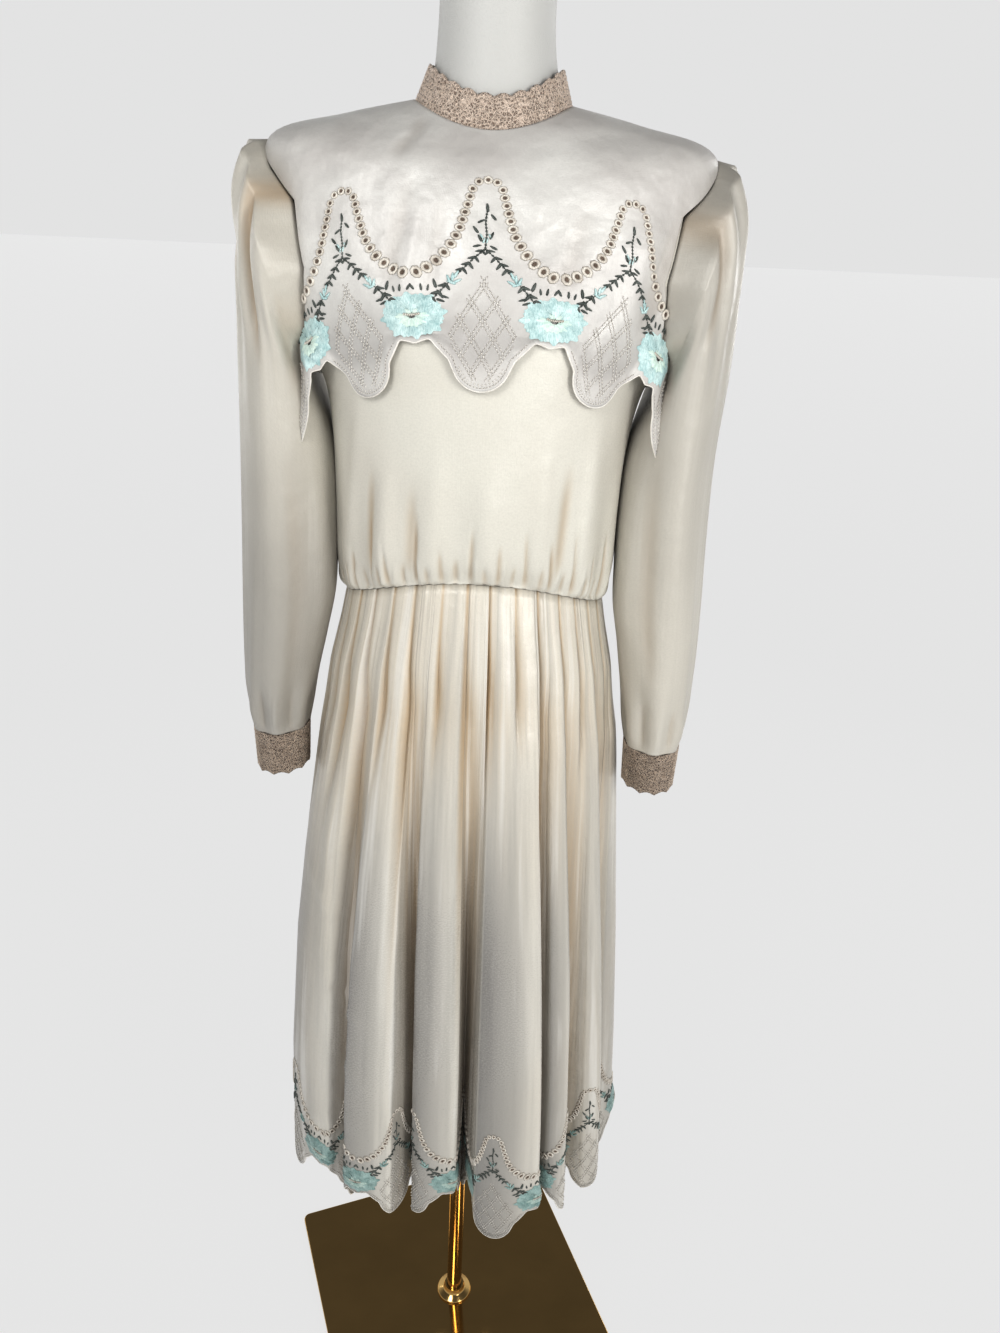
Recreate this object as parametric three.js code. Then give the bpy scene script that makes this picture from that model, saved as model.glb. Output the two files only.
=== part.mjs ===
// A long-sleeved satin dress with a lace stand collar, a scalloped overlay yoke, a gathered waist and a
// pleated scalloped skirt, standing on a limbless dress form with a brass pole and plate.
// Millimetres. +Z is up, the front of the dress faces -Y, and the origin is the pole's axis on the floor.
import * as THREE from "three";
import { mergeVertices } from "three/addons/utils/BufferGeometryUtils.js";

// Driving sizes
const clothThick = 1.5;
const laceThick = 1.6;
const seamGap = 0.3;
const motifRepeat = 94; // one lobe and one flower of the scalloped border
const plateSide = 360;
const plateThick = 6;
const plateCorner = 9;
const plateTurn = 21.1; // degrees, seen from above
const poleRadius = 10;
const flangeRadius = 23;
const flangeHigh = 12;
const hemTip = 330; // height of the lowest lobes of the skirt above the floor
const cuffHigh = 47;
const collarScallops = 26;
const cuffScallops = 11;
const buttonRadius = 4.6;
const yokeTip = 1257; // height of the yoke's middle lobe
const yokeTipFall = 12; // how much lower a lobe hangs one repeat round from it
const yokeHang = 80; // half angle of the yoke's free lower edge
const skirtColumns = 164;
const lobeAngle = 12.2; // a lobe of the hem hangs at the middle of this fold
const collarHighFront = 26;
const collarHighBack = 28;
const collarLean = 0.845; // reach of the collar's top edge, as a share of its foot's
const cuffTaper = 0.06;

// Sections of the upper garment from the waist to the neck: heights at the front, side and back, reaches
// from the axis to each side, and the half angle that a front or back panel covers.
const torsoRows = [
  { zFront: 1084, zSide: 1049, zBack: 1038, left: 128, right: 122, front: 90, back: 88, panel: 90 },
  { zFront: 1091, zSide: 1060, zBack: 1050, left: 133, right: 127, front: 103, back: 97, panel: 90 },
  { zFront: 1112, zSide: 1088, zBack: 1078, left: 136.5, right: 131, front: 111, back: 104, panel: 90 },
  { zFront: 1160, zSide: 1140, zBack: 1135, left: 137, right: 132, front: 114, back: 106, panel: 90 },
  { zFront: 1214, zSide: 1198, zBack: 1195, left: 139, right: 135, front: 116, back: 108, panel: 90 },
  { zFront: 1262, zSide: 1248, zBack: 1246, left: 146, right: 145, front: 118, back: 110, panel: 90 },
  { zFront: 1300, zSide: 1286, zBack: 1290, left: 168, right: 168, front: 117, back: 110, panel: 62 },
  { zFront: 1345, zSide: 1340, zBack: 1345, left: 184, right: 184, front: 111, back: 107, panel: 54 },
  { zFront: 1388, zSide: 1394, zBack: 1395, left: 187, right: 187, front: 100, back: 99, panel: 58 },
  { zFront: 1419, zSide: 1440, zBack: 1432, left: 184, right: 184, front: 87, back: 86, panel: 90 },
  { zFront: 1434, zSide: 1458, zBack: 1456, left: 122, right: 122, front: 77, back: 72, panel: 90 },
  { zFront: 1446, zSide: 1470, zBack: 1478, left: 65.6, right: 65.6, front: 68, back: 57, panel: 90 },
];
const underarmRow = 5;
const shoulderRow = 9;
const neckRow = 11;

// Sections of the skirt: the drop from the waist as a share of its length, and the reach of its ridges.
const skirtRows = [
  { drop: 0, left: 128, right: 122, front: 90, back: 88 },
  { drop: 0.04, left: 135, right: 128, front: 99, back: 96 },
  { drop: 0.1, left: 147, right: 139, front: 110, back: 106 },
  { drop: 0.2, left: 160, right: 150, front: 123, back: 118 },
  { drop: 0.36, left: 177, right: 158, front: 135, back: 130 },
  { drop: 0.54, left: 192, right: 167, front: 144, back: 139 },
  { drop: 0.76, left: 202, right: 176, front: 149, back: 145 },
  { drop: 1, left: 205, right: 184, front: 151, back: 149 },
];

// Folds of the skirt at the hem, in degrees round from the centre front. Each is a flat stretch from one
// angle to another, standing out from the section by two reaches, with a valley after it.
const skirtFolds = [
  { from: -82, to: -45.5, out: 2, outEnd: 5, dip: 27 },
  { from: -35, to: -23, out: 20, outEnd: -2, dip: 52 },
  { from: -15.5, to: -2, out: -8, outEnd: -14, dip: 56 },
  { from: 7, to: 25.5, out: 12, outEnd: 22, dip: 50 },
  { from: 32, to: 38.5, out: 12, outEnd: 12, dip: 44 },
  { from: 52, to: 60, out: 10, outEnd: 8, dip: 34 },
  { from: 75, to: 98, out: 0, outEnd: 2, dip: 36 },
  { from: 108, to: 127, out: 6, outEnd: 4, dip: 46 },
  { from: 138, to: 152, out: 8, outEnd: 0, dip: 52 },
  { from: 161, to: 181, out: 2, outEnd: 8, dip: 50 },
  { from: 191, to: 205, out: 6, outEnd: 2, dip: 46 },
  { from: 216, to: 236, out: 4, outEnd: 8, dip: 42 },
  { from: 247, to: 264, out: 2, outEnd: 0, dip: 34 },
];

// Angles of the pressed pleats in the front half of the skirt's waist seam. The back half mirrors them.
const frontPleats = [-79, -67, -57, -46, -35, -25, -13.5, -3, 6, 17, 27, 38, 48, 58, 69, 80];

// Height of the scalloped edge over the lobe's tip, by the distance from the lobe's middle in repeats.
const scallopRows = [
  { across: 0, up: 0 },
  { across: 0.12, up: 3 },
  { across: 0.21, up: 11 },
  { across: 0.27, up: 17 },
  { across: 0.34, up: 27 },
  { across: 0.4, up: 40 },
  { across: 0.45, up: 38 },
  { across: 0.5, up: 36 },
];

// Sections of each sleeve below its armhole: where the side next to the body and the outer side lie, half
// the depth front to back, and how far forward the middle hangs.
const leftSleeveRows = [
  { inX: 155, inZ: 1251, outX: 203, outZ: 1438, depth: 79, forward: 0 },
  { inX: 156.5, inZ: 1239, outX: 213, outZ: 1408, depth: 74, forward: 1 },
  { inX: 153, inZ: 1209, outX: 218, outZ: 1342, depth: 66, forward: 3 },
  { inX: 147.5, inZ: 1170, outX: 222, outZ: 1268, depth: 59, forward: 6 },
  { inX: 144.5, inZ: 1128, outX: 224, outZ: 1188, depth: 54, forward: 9 },
  { inX: 142, inZ: 1087, outX: 226.5, outZ: 1112, depth: 51, forward: 12 },
  { inX: 142.5, inZ: 1047, outX: 229, outZ: 1050, depth: 49, forward: 14 },
  { inX: 149, inZ: 1005, outX: 230.5, outZ: 996, depth: 46, forward: 17 },
  { inX: 159, inZ: 960, outX: 231, outZ: 951, depth: 42, forward: 19 },
  { inX: 166, inZ: 926, outX: 229, outZ: 920, depth: 38, forward: 20 },
  { inX: 169, inZ: 904, outX: 225, outZ: 902, depth: 35, forward: 21 },
];
const rightSleeveRows = [
  { inX: 155, inZ: 1251, outX: 203, outZ: 1434, depth: 79, forward: 0 },
  { inX: 156.5, inZ: 1239, outX: 214, outZ: 1400, depth: 74, forward: 1 },
  { inX: 152, inZ: 1209, outX: 219, outZ: 1338, depth: 66, forward: 3 },
  { inX: 146.5, inZ: 1170, outX: 219.5, outZ: 1268, depth: 59, forward: 6 },
  { inX: 142, inZ: 1128, outX: 215.5, outZ: 1188, depth: 54, forward: 9 },
  { inX: 138, inZ: 1087, outX: 216.5, outZ: 1112, depth: 51, forward: 12 },
  { inX: 137, inZ: 1047, outX: 219, outZ: 1050, depth: 49, forward: 14 },
  { inX: 143, inZ: 1005, outX: 220, outZ: 996, depth: 46, forward: 17 },
  { inX: 149.5, inZ: 958, outX: 219, outZ: 950, depth: 42, forward: 19 },
  { inX: 154.5, inZ: 922, outX: 217.5, outZ: 918, depth: 38, forward: 20 },
  { inX: 157.5, inZ: 899, outX: 214, outZ: 898, depth: 35, forward: 21 },
];

// Sections of the dress form from its underside to the top of its neck.
const formRows = [
  { zFront: 852, zSide: 852, zBack: 852, left: 62, right: 62, front: 50, back: 50 },
  { zFront: 856, zSide: 856, zBack: 856, left: 112, right: 110, front: 88, back: 84 },
  { zFront: 872, zSide: 872, zBack: 872, left: 130, right: 126, front: 99, back: 95 },
  { zFront: 930, zSide: 925, zBack: 920, left: 136, right: 130, front: 101, back: 97 },
  { zFront: 1010, zSide: 990, zBack: 975, left: 131, right: 125, front: 95, back: 91 },
  { zFront: 1084, zSide: 1049, zBack: 1038, left: 126, right: 120, front: 88, back: 86 },
  { zFront: 1160, zSide: 1135, zBack: 1125, left: 127, right: 121, front: 96, back: 92 },
  { zFront: 1250, zSide: 1236, zBack: 1228, left: 137, right: 132, front: 109, back: 101 },
  { zFront: 1300, zSide: 1290, zBack: 1290, left: 145, right: 143, front: 109, back: 103 },
  { zFront: 1350, zSide: 1350, zBack: 1350, left: 150, right: 149, front: 102, back: 99 },
  { zFront: 1392, zSide: 1401, zBack: 1398, left: 155, right: 155, front: 90, back: 89 },
  { zFront: 1416, zSide: 1431, zBack: 1428, left: 150, right: 150, front: 78, back: 77 },
  { zFront: 1430, zSide: 1451, zBack: 1450, left: 112, right: 112, front: 68, back: 65 },
  { zFront: 1446, zSide: 1466, zBack: 1473, left: 62.5, right: 62.5, front: 62, back: 54 },
  { zFront: 1478, zSide: 1489, zBack: 1494, left: 51, right: 53, front: 53, back: 45 },
  { zFront: 1520, zSide: 1524, zBack: 1526, left: 47, right: 48, front: 49, back: 43 },
  { zFront: 1566, zSide: 1566, zBack: 1566, left: 45, right: 47, front: 48, back: 43 },
  { zFront: 1574, zSide: 1574, zBack: 1574, left: 40, right: 42, front: 43, back: 38 },
  { zFront: 1577, zSide: 1577, zBack: 1577, left: 24, right: 26, front: 26, back: 22 },
];

// Materials
const finish = (color, roughness, metalness = 0) =>
  new THREE.MeshStandardMaterial({ color, roughness, metalness });
const satin = finish(0xe9ddca, 0.42);
const lace = finish(0xd9c3ac, 0.8);
const formCloth = finish(0xf2f1ee, 0.7);
const brass = finish(0xb08a3c, 0.2, 1);

// Small maths
const rad = THREE.MathUtils.degToRad;
const { clamp, lerp, smoothstep } = THREE.MathUtils;
const steps = (count, from = 0, to = 1) =>
  Array.from({ length: count + 1 }, (_, i) => lerp(from, to, i / count));

// One column of a table at a place between its rows, on a smooth curve through them.
function column(rows, name, t) {
  const last = rows.length - 1;
  const i = clamp(Math.floor(t), 0, last - 1);
  const f = t - i;
  const [a, b, c, d] = [-1, 0, 1, 2].map((k) => rows[clamp(i + k, 0, last)][name]);
  return b + 0.5 * f * (c - a + f * (2 * a - 5 * b + 4 * c - d + f * (3 * (b - c) + d - a)));
}

// A table read by a rising key column, straight between its rows.
function lookUp(rows, key, name, x) {
  const i = clamp(rows.findIndex((row) => row[key] > x) - 1, 0, rows.length - 2);
  const [a, b] = [rows[i], rows[x >= rows[rows.length - 1][key] ? rows.length - 1 : i + 1]];
  return b === a ? a[name] : lerp(a[name], b[name], clamp((x - a[key]) / (b[key] - a[key]), 0, 1));
}

// Surface point of a table of sections: degrees round from the front, and a place between its rows.
function sectionPoint(rows, angle, t, out = 0) {
  const [s, c] = [Math.sin(rad(angle)), Math.cos(rad(angle))];
  const wide = column(rows, s < 0 ? "left" : "right", t) + out;
  const deep = column(rows, c < 0 ? "back" : "front", t) + out;
  const zSide = column(rows, "zSide", t);
  const z = lerp(zSide, column(rows, c < 0 ? "zBack" : "zFront", t), c * c);
  return new THREE.Vector3(wide * s, -deep * c, z);
}

// Closed geometry from rows of points: an outer skin, an inner skin and the rims between them.
function wallGeometry(outer, inner, round) {
  const [rows, cols] = [outer.length, outer[0].length];
  const points = [...outer.flat(), ...inner.flat()];
  const at = (skin, j, i) => skin * rows * cols + j * cols + (i % cols);
  const index = [];
  const quad = (a, b, c, d) => index.push(a, b, c, a, c, d);
  const spans = round ? cols : cols - 1;
  for (let j = 0; j < rows - 1; j += 1)
    for (let i = 0; i < spans; i += 1) {
      quad(at(0, j, i), at(0, j, i + 1), at(0, j + 1, i + 1), at(0, j + 1, i));
      quad(at(1, j, i), at(1, j + 1, i), at(1, j + 1, i + 1), at(1, j, i + 1));
    }
  for (let i = 0; i < spans; i += 1) {
    quad(at(1, 0, i), at(1, 0, i + 1), at(0, 0, i + 1), at(0, 0, i));
    quad(at(0, rows - 1, i), at(0, rows - 1, i + 1), at(1, rows - 1, i + 1), at(1, rows - 1, i));
  }
  if (!round)
    for (let j = 0; j < rows - 1; j += 1) {
      quad(at(0, j, 0), at(0, j + 1, 0), at(1, j + 1, 0), at(1, j, 0));
      quad(at(1, j, cols - 1), at(1, j + 1, cols - 1), at(0, j + 1, cols - 1), at(0, j, cols - 1));
    }
  return faced(points, index);
}

// A geometry from points and triangles, turned so that its faces point out.
function faced(points, index) {
  let volume = 0;
  for (let k = 0; k < index.length; k += 3)
    volume += points[index[k]].dot(points[index[k + 1]].clone().cross(points[index[k + 2]]));
  if (volume < 0) index.reverse();
  return new THREE.BufferGeometry().setFromPoints(points).setIndex(index);
}

// Unit normal of a surface function, by small steps along its two directions.
function normalOf(surface, u, v) {
  const h = 1e-3;
  const along = surface(u + h, v).sub(surface(u - h, v));
  const up = surface(u, v + h).sub(surface(u, v - h));
  return along.cross(up).normalize();
}

// A piece of cloth: a surface function sampled at columns and rows, thickened on its inner side.
function cloth(name, material, surface, us, vs, { round = false, thick = clothThick, side = 1 } = {}) {
  const outer = vs.map((v) => us.map((u) => surface(u, v)));
  const inner = vs.map((v, j) =>
    us.map((u, i) => outer[j][i].clone().addScaledVector(normalOf(surface, u, v), -side * thick)),
  );
  return piece(name, wallGeometry(outer, inner, round), material);
}

function piece(name, geometry, material) {
  const mesh = new THREE.Mesh(geometry, material);
  mesh.name = name;
  return mesh;
}

// Upper garment: soft gathers stand above the waist seam and die out towards the chest.
const torsoPoint = (angle, t) => {
  const gather = 2.6 * smoothstep(t, 0, 0.8) * (1 - smoothstep(t, 1, 4.6));
  const wave = Math.sin(rad(16 * angle)) + 0.5 * Math.sin(rad(9 * angle + 40));
  return sectionPoint(torsoRows, angle, t, gather * wave);
};
const panelAngle = (t) => {
  const i = clamp(Math.floor(t), 0, torsoRows.length - 2);
  return lerp(torsoRows[i].panel, torsoRows[i + 1].panel, t - i);
};
const bodiceRows = [0.02, 1, 2, 3.5, 5, 5.5, 6, 7, 8, 8.5, 9, 10, 11];
const seamAngle = 0.17; // half a seam's gap, in degrees round the neck and the sides

const bodiceFront = cloth(
  "bodice_front",
  satin,
  (s, t) => torsoPoint(s * (panelAngle(t) - seamAngle), t),
  steps(40, -1, 1),
  bodiceRows,
);
const bodiceBacks = [-1, 1].map((hand) =>
  cloth(
    hand < 0 ? "bodice_back_left" : "bodice_back_right",
    satin,
    (s, t) => {
      const half = panelAngle(t) - seamAngle;
      return torsoPoint(180 - hand * lerp(seamAngle, half, s), t);
    },
    steps(16),
    bodiceRows,
    { side: -hand },
  ),
);

// Place of a height on the upper garment, between its rows.
function rowAtHeight(angle, z) {
  let [low, high] = [0, neckRow];
  while (high - low > 1e-4) {
    const mid = (low + high) / 2;
    if (sectionPoint(torsoRows, angle, mid).z < z) low = mid;
    else high = mid;
  }
  return low;
}

// Length along a closed or open run of points, as a running total.
function runningLength(points) {
  const total = [0];
  points.slice(1).forEach((p, i) => total.push(total[i] + p.distanceTo(points[i])));
  return total;
}

const scallopUp = (repeats) => {
  const across = Math.abs(repeats - Math.round(repeats));
  return lookUp(scallopRows, "across", "up", across);
};

// Overlay yoke: it lies on the upper front, ends short of the armholes and hangs free at its lobes.
const yokeUpperRows = [6, 7, 8, 8.5, 9, 10, 11];
const yokeSamples = steps(180, -90, 90);
const yokeArc = runningLength(yokeSamples.map((a) => sectionPoint(torsoRows, a, underarmRow)));
const yokeRepeats = (angle) => {
  const sample = Math.round(clamp(angle, -90, 90) + 90);
  return (yokeArc[sample] - yokeArc[90]) / motifRepeat;
};
const yokeEdge = (angle) => {
  const tip = yokeTip - yokeTipFall * (Math.abs(angle) / 39) ** 2.25;
  return rowAtHeight(angle, tip + scallopUp(yokeRepeats(angle)));
};
const yokePlace = (s, v) => {
  const row = clamp(v - 2, 0, yokeUpperRows.length - 1);
  const i = Math.min(Math.floor(row), yokeUpperRows.length - 2);
  const upper = lerp(yokeUpperRows[i], yokeUpperRows[i + 1], row - i);
  const hang = (yokeHang - panelAngle(upper)) * (1 - clamp(v / 2, 0, 1) ** 3);
  const half = panelAngle(upper) + hang - 1.3;
  const angle = s * half;
  return [angle, v < 2 ? lerp(yokeEdge(angle), yokeUpperRows[0], v / 2) : upper];
};
const yokeLift = (v) => 0.85 + 4 * (1 - smoothstep(v, 0, 3));
const yokeSkin = (lift) => (s, v) => {
  const [angle, t] = yokePlace(s, v);
  const plain = (a, r) => sectionPoint(torsoRows, a, r);
  return plain(angle, t).addScaledVector(normalOf(plain, angle, t), yokeLift(v) + lift);
};
const yokeColumns = steps(48, -1, 1);
const yokeLines = steps(yokeUpperRows.length + 1, 0, yokeUpperRows.length + 1);
const yokeFront = piece(
  "yoke_front",
  wallGeometry(
    yokeLines.map((v) => yokeColumns.map((s) => yokeSkin(clothThick)(s, v))),
    yokeLines.map((v) => yokeColumns.map((s) => yokeSkin(0)(s, v))),
    false,
  ),
  satin,
);

// Skirt
const waistHeight = (angle) => sectionPoint(torsoRows, angle, 0).z;
const hemFold = (angle) => {
  const first = skirtFolds[0].from;
  const turned = first + THREE.MathUtils.euclideanModulo(angle - first, 360);
  const i = skirtFolds.findLastIndex((fold) => fold.from <= turned);
  const fold = skirtFolds[i];
  if (turned <= fold.to) return lerp(fold.out, fold.outEnd, (turned - fold.from) / (fold.to - fold.from));
  const next = skirtFolds[(i + 1) % skirtFolds.length];
  const start = next === skirtFolds[0] ? next.from + 360 : next.from;
  const share = (turned - fold.to) / (start - fold.to);
  const valley = fold.dip * Math.max(0, Math.sin(Math.PI * share)) ** 0.7;
  return lerp(fold.outEnd, next.out, smoothstep(share, 0, 1)) - valley;
};
const pleats = [...frontPleats, ...frontPleats.map((a) => 180 - a)].sort((a, b) => a - b);
const pleatFold = (angle) => {
  const turned = pleats[0] + THREE.MathUtils.euclideanModulo(angle - pleats[0], 360);
  const i = pleats.findLastIndex((a) => a <= turned);
  const end = i + 1 < pleats.length ? pleats[i + 1] : pleats[0] + 360;
  const share = (turned - pleats[i]) / (end - pleats[i]);
  return -Math.exp(-share * 5) * (1 - Math.exp(-share * 40)) * 1.45;
};
const skirtPlan = (angle, drop) => {
  const [s, c] = [Math.sin(rad(angle)), Math.cos(rad(angle))];
  const grown = smoothstep(drop, 0.02, 1) ** 0.9;
  const pleatDeep = 7 * smoothstep(drop, 0, 0.12) * (1 - smoothstep(drop, 0.16, 0.55));
  const out = hemFold(angle) * grown + pleatFold(angle) * pleatDeep;
  const wide = lookUp(skirtRows, "drop", s < 0 ? "left" : "right", drop);
  const deep = lookUp(skirtRows, "drop", c < 0 ? "back" : "front", drop);
  const plan = new THREE.Vector3(wide * s, -deep * c, 0);
  return plan.addScaledVector(plan.clone().normalize(), out);
};

// Angles that lie evenly along the folded hem, so that the deep folds get their share of columns.
const hemSamples = steps(3600, -90, 270);
const hemArc = runningLength(hemSamples.map((angle) => skirtPlan(angle, 1)));
const hemLength = hemArc[hemArc.length - 1];
const hemLobes = Math.round(hemLength / motifRepeat);
const angleAtLength = (length) => {
  const after = hemArc.findIndex((total) => total > length);
  const i = after < 0 ? hemSamples.length - 2 : Math.max(after - 1, 0);
  return lerp(hemSamples[i], hemSamples[i + 1], (length - hemArc[i]) / (hemArc[i + 1] - hemArc[i]));
};
const lengthAtAngle = (angle) => hemArc[clamp(Math.round((angle + 90) * 10), 0, hemSamples.length - 1)];
const lobeStart = lengthAtAngle(lobeAngle) / hemLength;
const skirtPoint = (share, drop) => {
  const angle = angleAtLength(share * hemLength);
  const scallop = scallopUp((share - lobeStart) * hemLobes) * smoothstep(drop, 0.86, 1);
  const p = skirtPlan(angle, drop);
  p.z = lerp(waistHeight(angle) - seamGap, hemTip, drop) + scallop;
  return p;
};
const skirtDrops = [0, 0.05, 0.14, 0.28, 0.5, 0.74, 0.9, 1];
const sideShare = lengthAtAngle(90) / hemLength;
const seamShare = 0.5 / hemLength;
const frontShares = steps(Math.round(skirtColumns * sideShare), seamShare, sideShare - seamShare);
const backShares = steps(skirtColumns - frontShares.length, sideShare + seamShare, 1 - seamShare);
const skirtFront = cloth("skirt_front", satin, skirtPoint, frontShares, skirtDrops, { side: -1 });
const skirtBack = cloth("skirt_back", satin, skirtPoint, backShares, skirtDrops, { side: -1 });

// A point just inside an armhole, whose edge runs straight from row to row of the bodice.
const armholeGap = 1;
function armholePoint(hand, atBack, row) {
  const i = clamp(bodiceRows.findLastIndex((r) => r <= row), 0, bodiceRows.length - 2);
  const corner = (r) => torsoPoint(atBack ? 180 - hand * panelAngle(r) : hand * panelAngle(r), r);
  const share = (row - bodiceRows[i]) / (bodiceRows[i + 1] - bodiceRows[i]);
  const edge = corner(bodiceRows[i]).lerp(corner(bodiceRows[i + 1]), share);
  const inward = new THREE.Vector3(hand * 172, 0, 1345).sub(edge).normalize();
  return edge.addScaledVector(inward, armholeGap);
}

// Sleeves: the head follows the armhole's edge, and is gathered over the shoulder.
const sleeveTurns = steps(28).slice(0, -1);
function sleevePoint(rows, hand) {
  return (turn, v) => {
    const psi = 2 * Math.PI * (turn - 0.07 * Math.sin(2 * Math.PI * turn));
    const armRow = lerp(underarmRow, shoulderRow, (1 + Math.cos(psi)) / 2);
    const edge = armholePoint(hand, Math.sin(psi) < 0, armRow);
    const t = Math.max(v - 1, 0);
    const middle = (name) => (column(rows, "in" + name, t) + column(rows, "out" + name, t)) / 2;
    const half = (name) => (column(rows, "out" + name, t) - column(rows, "in" + name, t)) / 2;
    const head = 3.2 * Math.max(0, Math.cos(psi)) ** 0.5 * smoothstep(v, 0, 1) * (1 - smoothstep(v, 2, 5));
    const wrist = 2.6 * smoothstep(v, 8.2, 10) * (1 - 0.6 * smoothstep(v, 10, 11));
    const hanging = 1.8 * smoothstep(v, 2, 4) * (1 - smoothstep(v, 9, 10));
    const out =
      head * Math.cos(14 * psi) + wrist * Math.cos(7 * psi + 1) + hanging * Math.cos(4 * psi + 0.6);
    const [x, z] = [Math.cos(psi), Math.sin(psi)];
    const ring = new THREE.Vector3(
      hand * (middle("X") + (half("X") + out * Math.sign(half("X"))) * x),
      -column(rows, "forward", t) - (column(rows, "depth", t) + out) * z,
      middle("Z") + half("Z") * x,
    );
    return v >= 1 ? ring : edge.lerp(ring, v);
  };
}
const sleeveLines = [0, 0.5, 1, 2, 3, 4.5, 6, 7, 8.5, 10, 11];
const leftSleeve = cloth(
  "sleeve_left",
  satin,
  sleevePoint(leftSleeveRows, -1),
  sleeveTurns,
  sleeveLines,
  { round: true, side: -1 },
);
const rightSleeve = cloth(
  "sleeve_right",
  satin,
  sleevePoint(rightSleeveRows, 1),
  sleeveTurns,
  sleeveLines,
  { round: true, side: 1 },
);

// Lace cuffs hang below the sleeves, with a scalloped lower edge.
function cuff(name, rows, hand) {
  const last = rows[rows.length - 1];
  const surface = (turn, v) => {
    const psi = 2 * Math.PI * turn;
    const scallop = 3 * Math.abs(Math.cos(cuffScallops * 0.5 * psi));
    const taper = 1 - cuffTaper * v;
    const half = ((last.outX - last.inX) / 2) * taper;
    const z = lerp(last.inZ, last.outZ, (1 + Math.cos(psi)) / 2) - seamGap - 0.2 - v * (cuffHigh - scallop);
    return new THREE.Vector3(
      hand * ((last.outX + last.inX) / 2 + half * Math.cos(psi)),
      -last.forward - last.depth * taper * Math.sin(psi),
      z,
    );
  };
  return cloth(name, lace, surface, steps(44).slice(0, -1), [0, 1], {
    round: true,
    thick: laceThick,
    side: hand,
  });
}

// Lace stand collar, open at the centre back.
const collarPoint = (share, v) => {
  const angle = lerp(-180 + 0.5, 180 - 0.5, share);
  const c = Math.cos(rad(angle));
  const foot = sectionPoint(torsoRows, angle, neckRow, -seamGap - 0.1);
  const high = lerp(collarHighBack, collarHighFront, (1 + c) / 2) - 1.5;
  const scallop = 2.6 * Math.abs(Math.sin(rad(angle) * collarScallops * 0.5));
  const inward = lerp(1, collarLean, v);
  return new THREE.Vector3(foot.x * inward + 1.5 * v, foot.y * inward, foot.z + 0.6 + v * (high + scallop));
};
const collar = cloth("collar", lace, collarPoint, steps(78), [0, 1], { thick: laceThick });

// Covered buttons down the centre back: one on the collar, the rest on the bodice between its rows.
const collarBack = [collarPoint(0, 0).setX(0), collarPoint(0, 1).setX(0)];
const spine = bodiceRows.map((t) => sectionPoint(torsoRows, 180, t));
const buttonHeights = [1492, 1466, 1436, 1406, 1376, 1346, 1316, 1286];
const buttons = buttonHeights.map((z, i) => {
  const above = spine.findIndex((p) => p.z > z);
  const [low, high] = above < 0 ? collarBack : [spine[above - 1], spine[above]];
  const seat = low.clone().lerp(high, (z - low.z) / (high.z - low.z));
  const outward = new THREE.Vector3(0, high.z - low.z, low.y - high.y).normalize();
  const dome = steps(2).map((f) => {
    const turn = (Math.PI / 2) * f;
    return new THREE.Vector2(buttonRadius * Math.cos(turn), 1 + 2.2 * Math.sin(turn));
  });
  dome[dome.length - 1].x = 0;
  const profile = [new THREE.Vector2(0, 0), new THREE.Vector2(buttonRadius - 0.8, 0), ...dome];
  const geometry = new THREE.LatheGeometry(profile, 10);
  geometry.applyQuaternion(
    new THREE.Quaternion().setFromUnitVectors(new THREE.Vector3(0, 1, 0), outward),
  );
  const mesh = piece("back_button_" + (i + 1), tidy(geometry), satin);
  mesh.position.copy(seat).addScaledVector(outward, seamGap);
  return mesh;
});

// A turned or extruded geometry with its shared points merged.
function tidy(geometry) {
  geometry.deleteAttribute("normal");
  geometry.deleteAttribute("uv");
  return mergeVertices(geometry, 1e-3);
}

// Dress form: one smooth closed body, from its underside to the top of the neck.
function dressForm() {
  const turns = steps(30, 0, 360).slice(0, -1);
  const rings = formRows.map((_, t) => turns.map((angle) => sectionPoint(formRows, angle, t)));
  const points = rings.flat();
  const index = [];
  rings.slice(1).forEach((ring, j) => {
    ring.forEach((_, i) => {
      const k = (i + 1) % turns.length;
      const [a, b] = [j * turns.length, (j + 1) * turns.length];
      index.push(a + i, a + k, b + k, a + i, b + k, b + i);
    });
  });
  const ends = [
    [0, points.push(new THREE.Vector3(0, 0, formRows[0].zSide)) - 1],
    [rings.length - 1, points.push(new THREE.Vector3(1, 1, formRows.at(-1).zSide + 0.5)) - 1],
  ];
  ends.forEach(([j, middle]) => {
    turns.forEach((_, i) => {
      const [a, b] = [j * turns.length + i, j * turns.length + ((i + 1) % turns.length)];
      index.push(...(j ? [a, b, middle] : [b, a, middle]));
    });
  });
  return piece("dress_form", faced(points, index), formCloth);
}

// Stand: a polished plate, a flange, and a pole up to the form.
function basePlate() {
  const half = plateSide / 2;
  const shape = new THREE.Shape();
  [0, 90, 180, 270].forEach((turn) => {
    const [c, s] = [Math.cos(rad(turn)), Math.sin(rad(turn))];
    const inner = half - plateCorner;
    shape.absarc(inner * (c - s), inner * (s + c), plateCorner, rad(turn), rad(turn + 90));
  });
  const geometry = new THREE.ExtrudeGeometry(shape, {
    depth: plateThick,
    bevelEnabled: false,
    curveSegments: 5,
  });
  const mesh = piece("base_plate", tidy(geometry), brass);
  mesh.rotation.z = rad(plateTurn);
  return mesh;
}
function turned(name, outline, material) {
  const geometry = new THREE.LatheGeometry(
    outline.map(([r, z]) => new THREE.Vector2(r, z)),
    20,
  );
  geometry.rotateX(Math.PI / 2);
  return piece(name, tidy(geometry), material);
}
const poleFoot = plateThick + seamGap;
const poleTop = formRows[0].zSide - seamGap;
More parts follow.
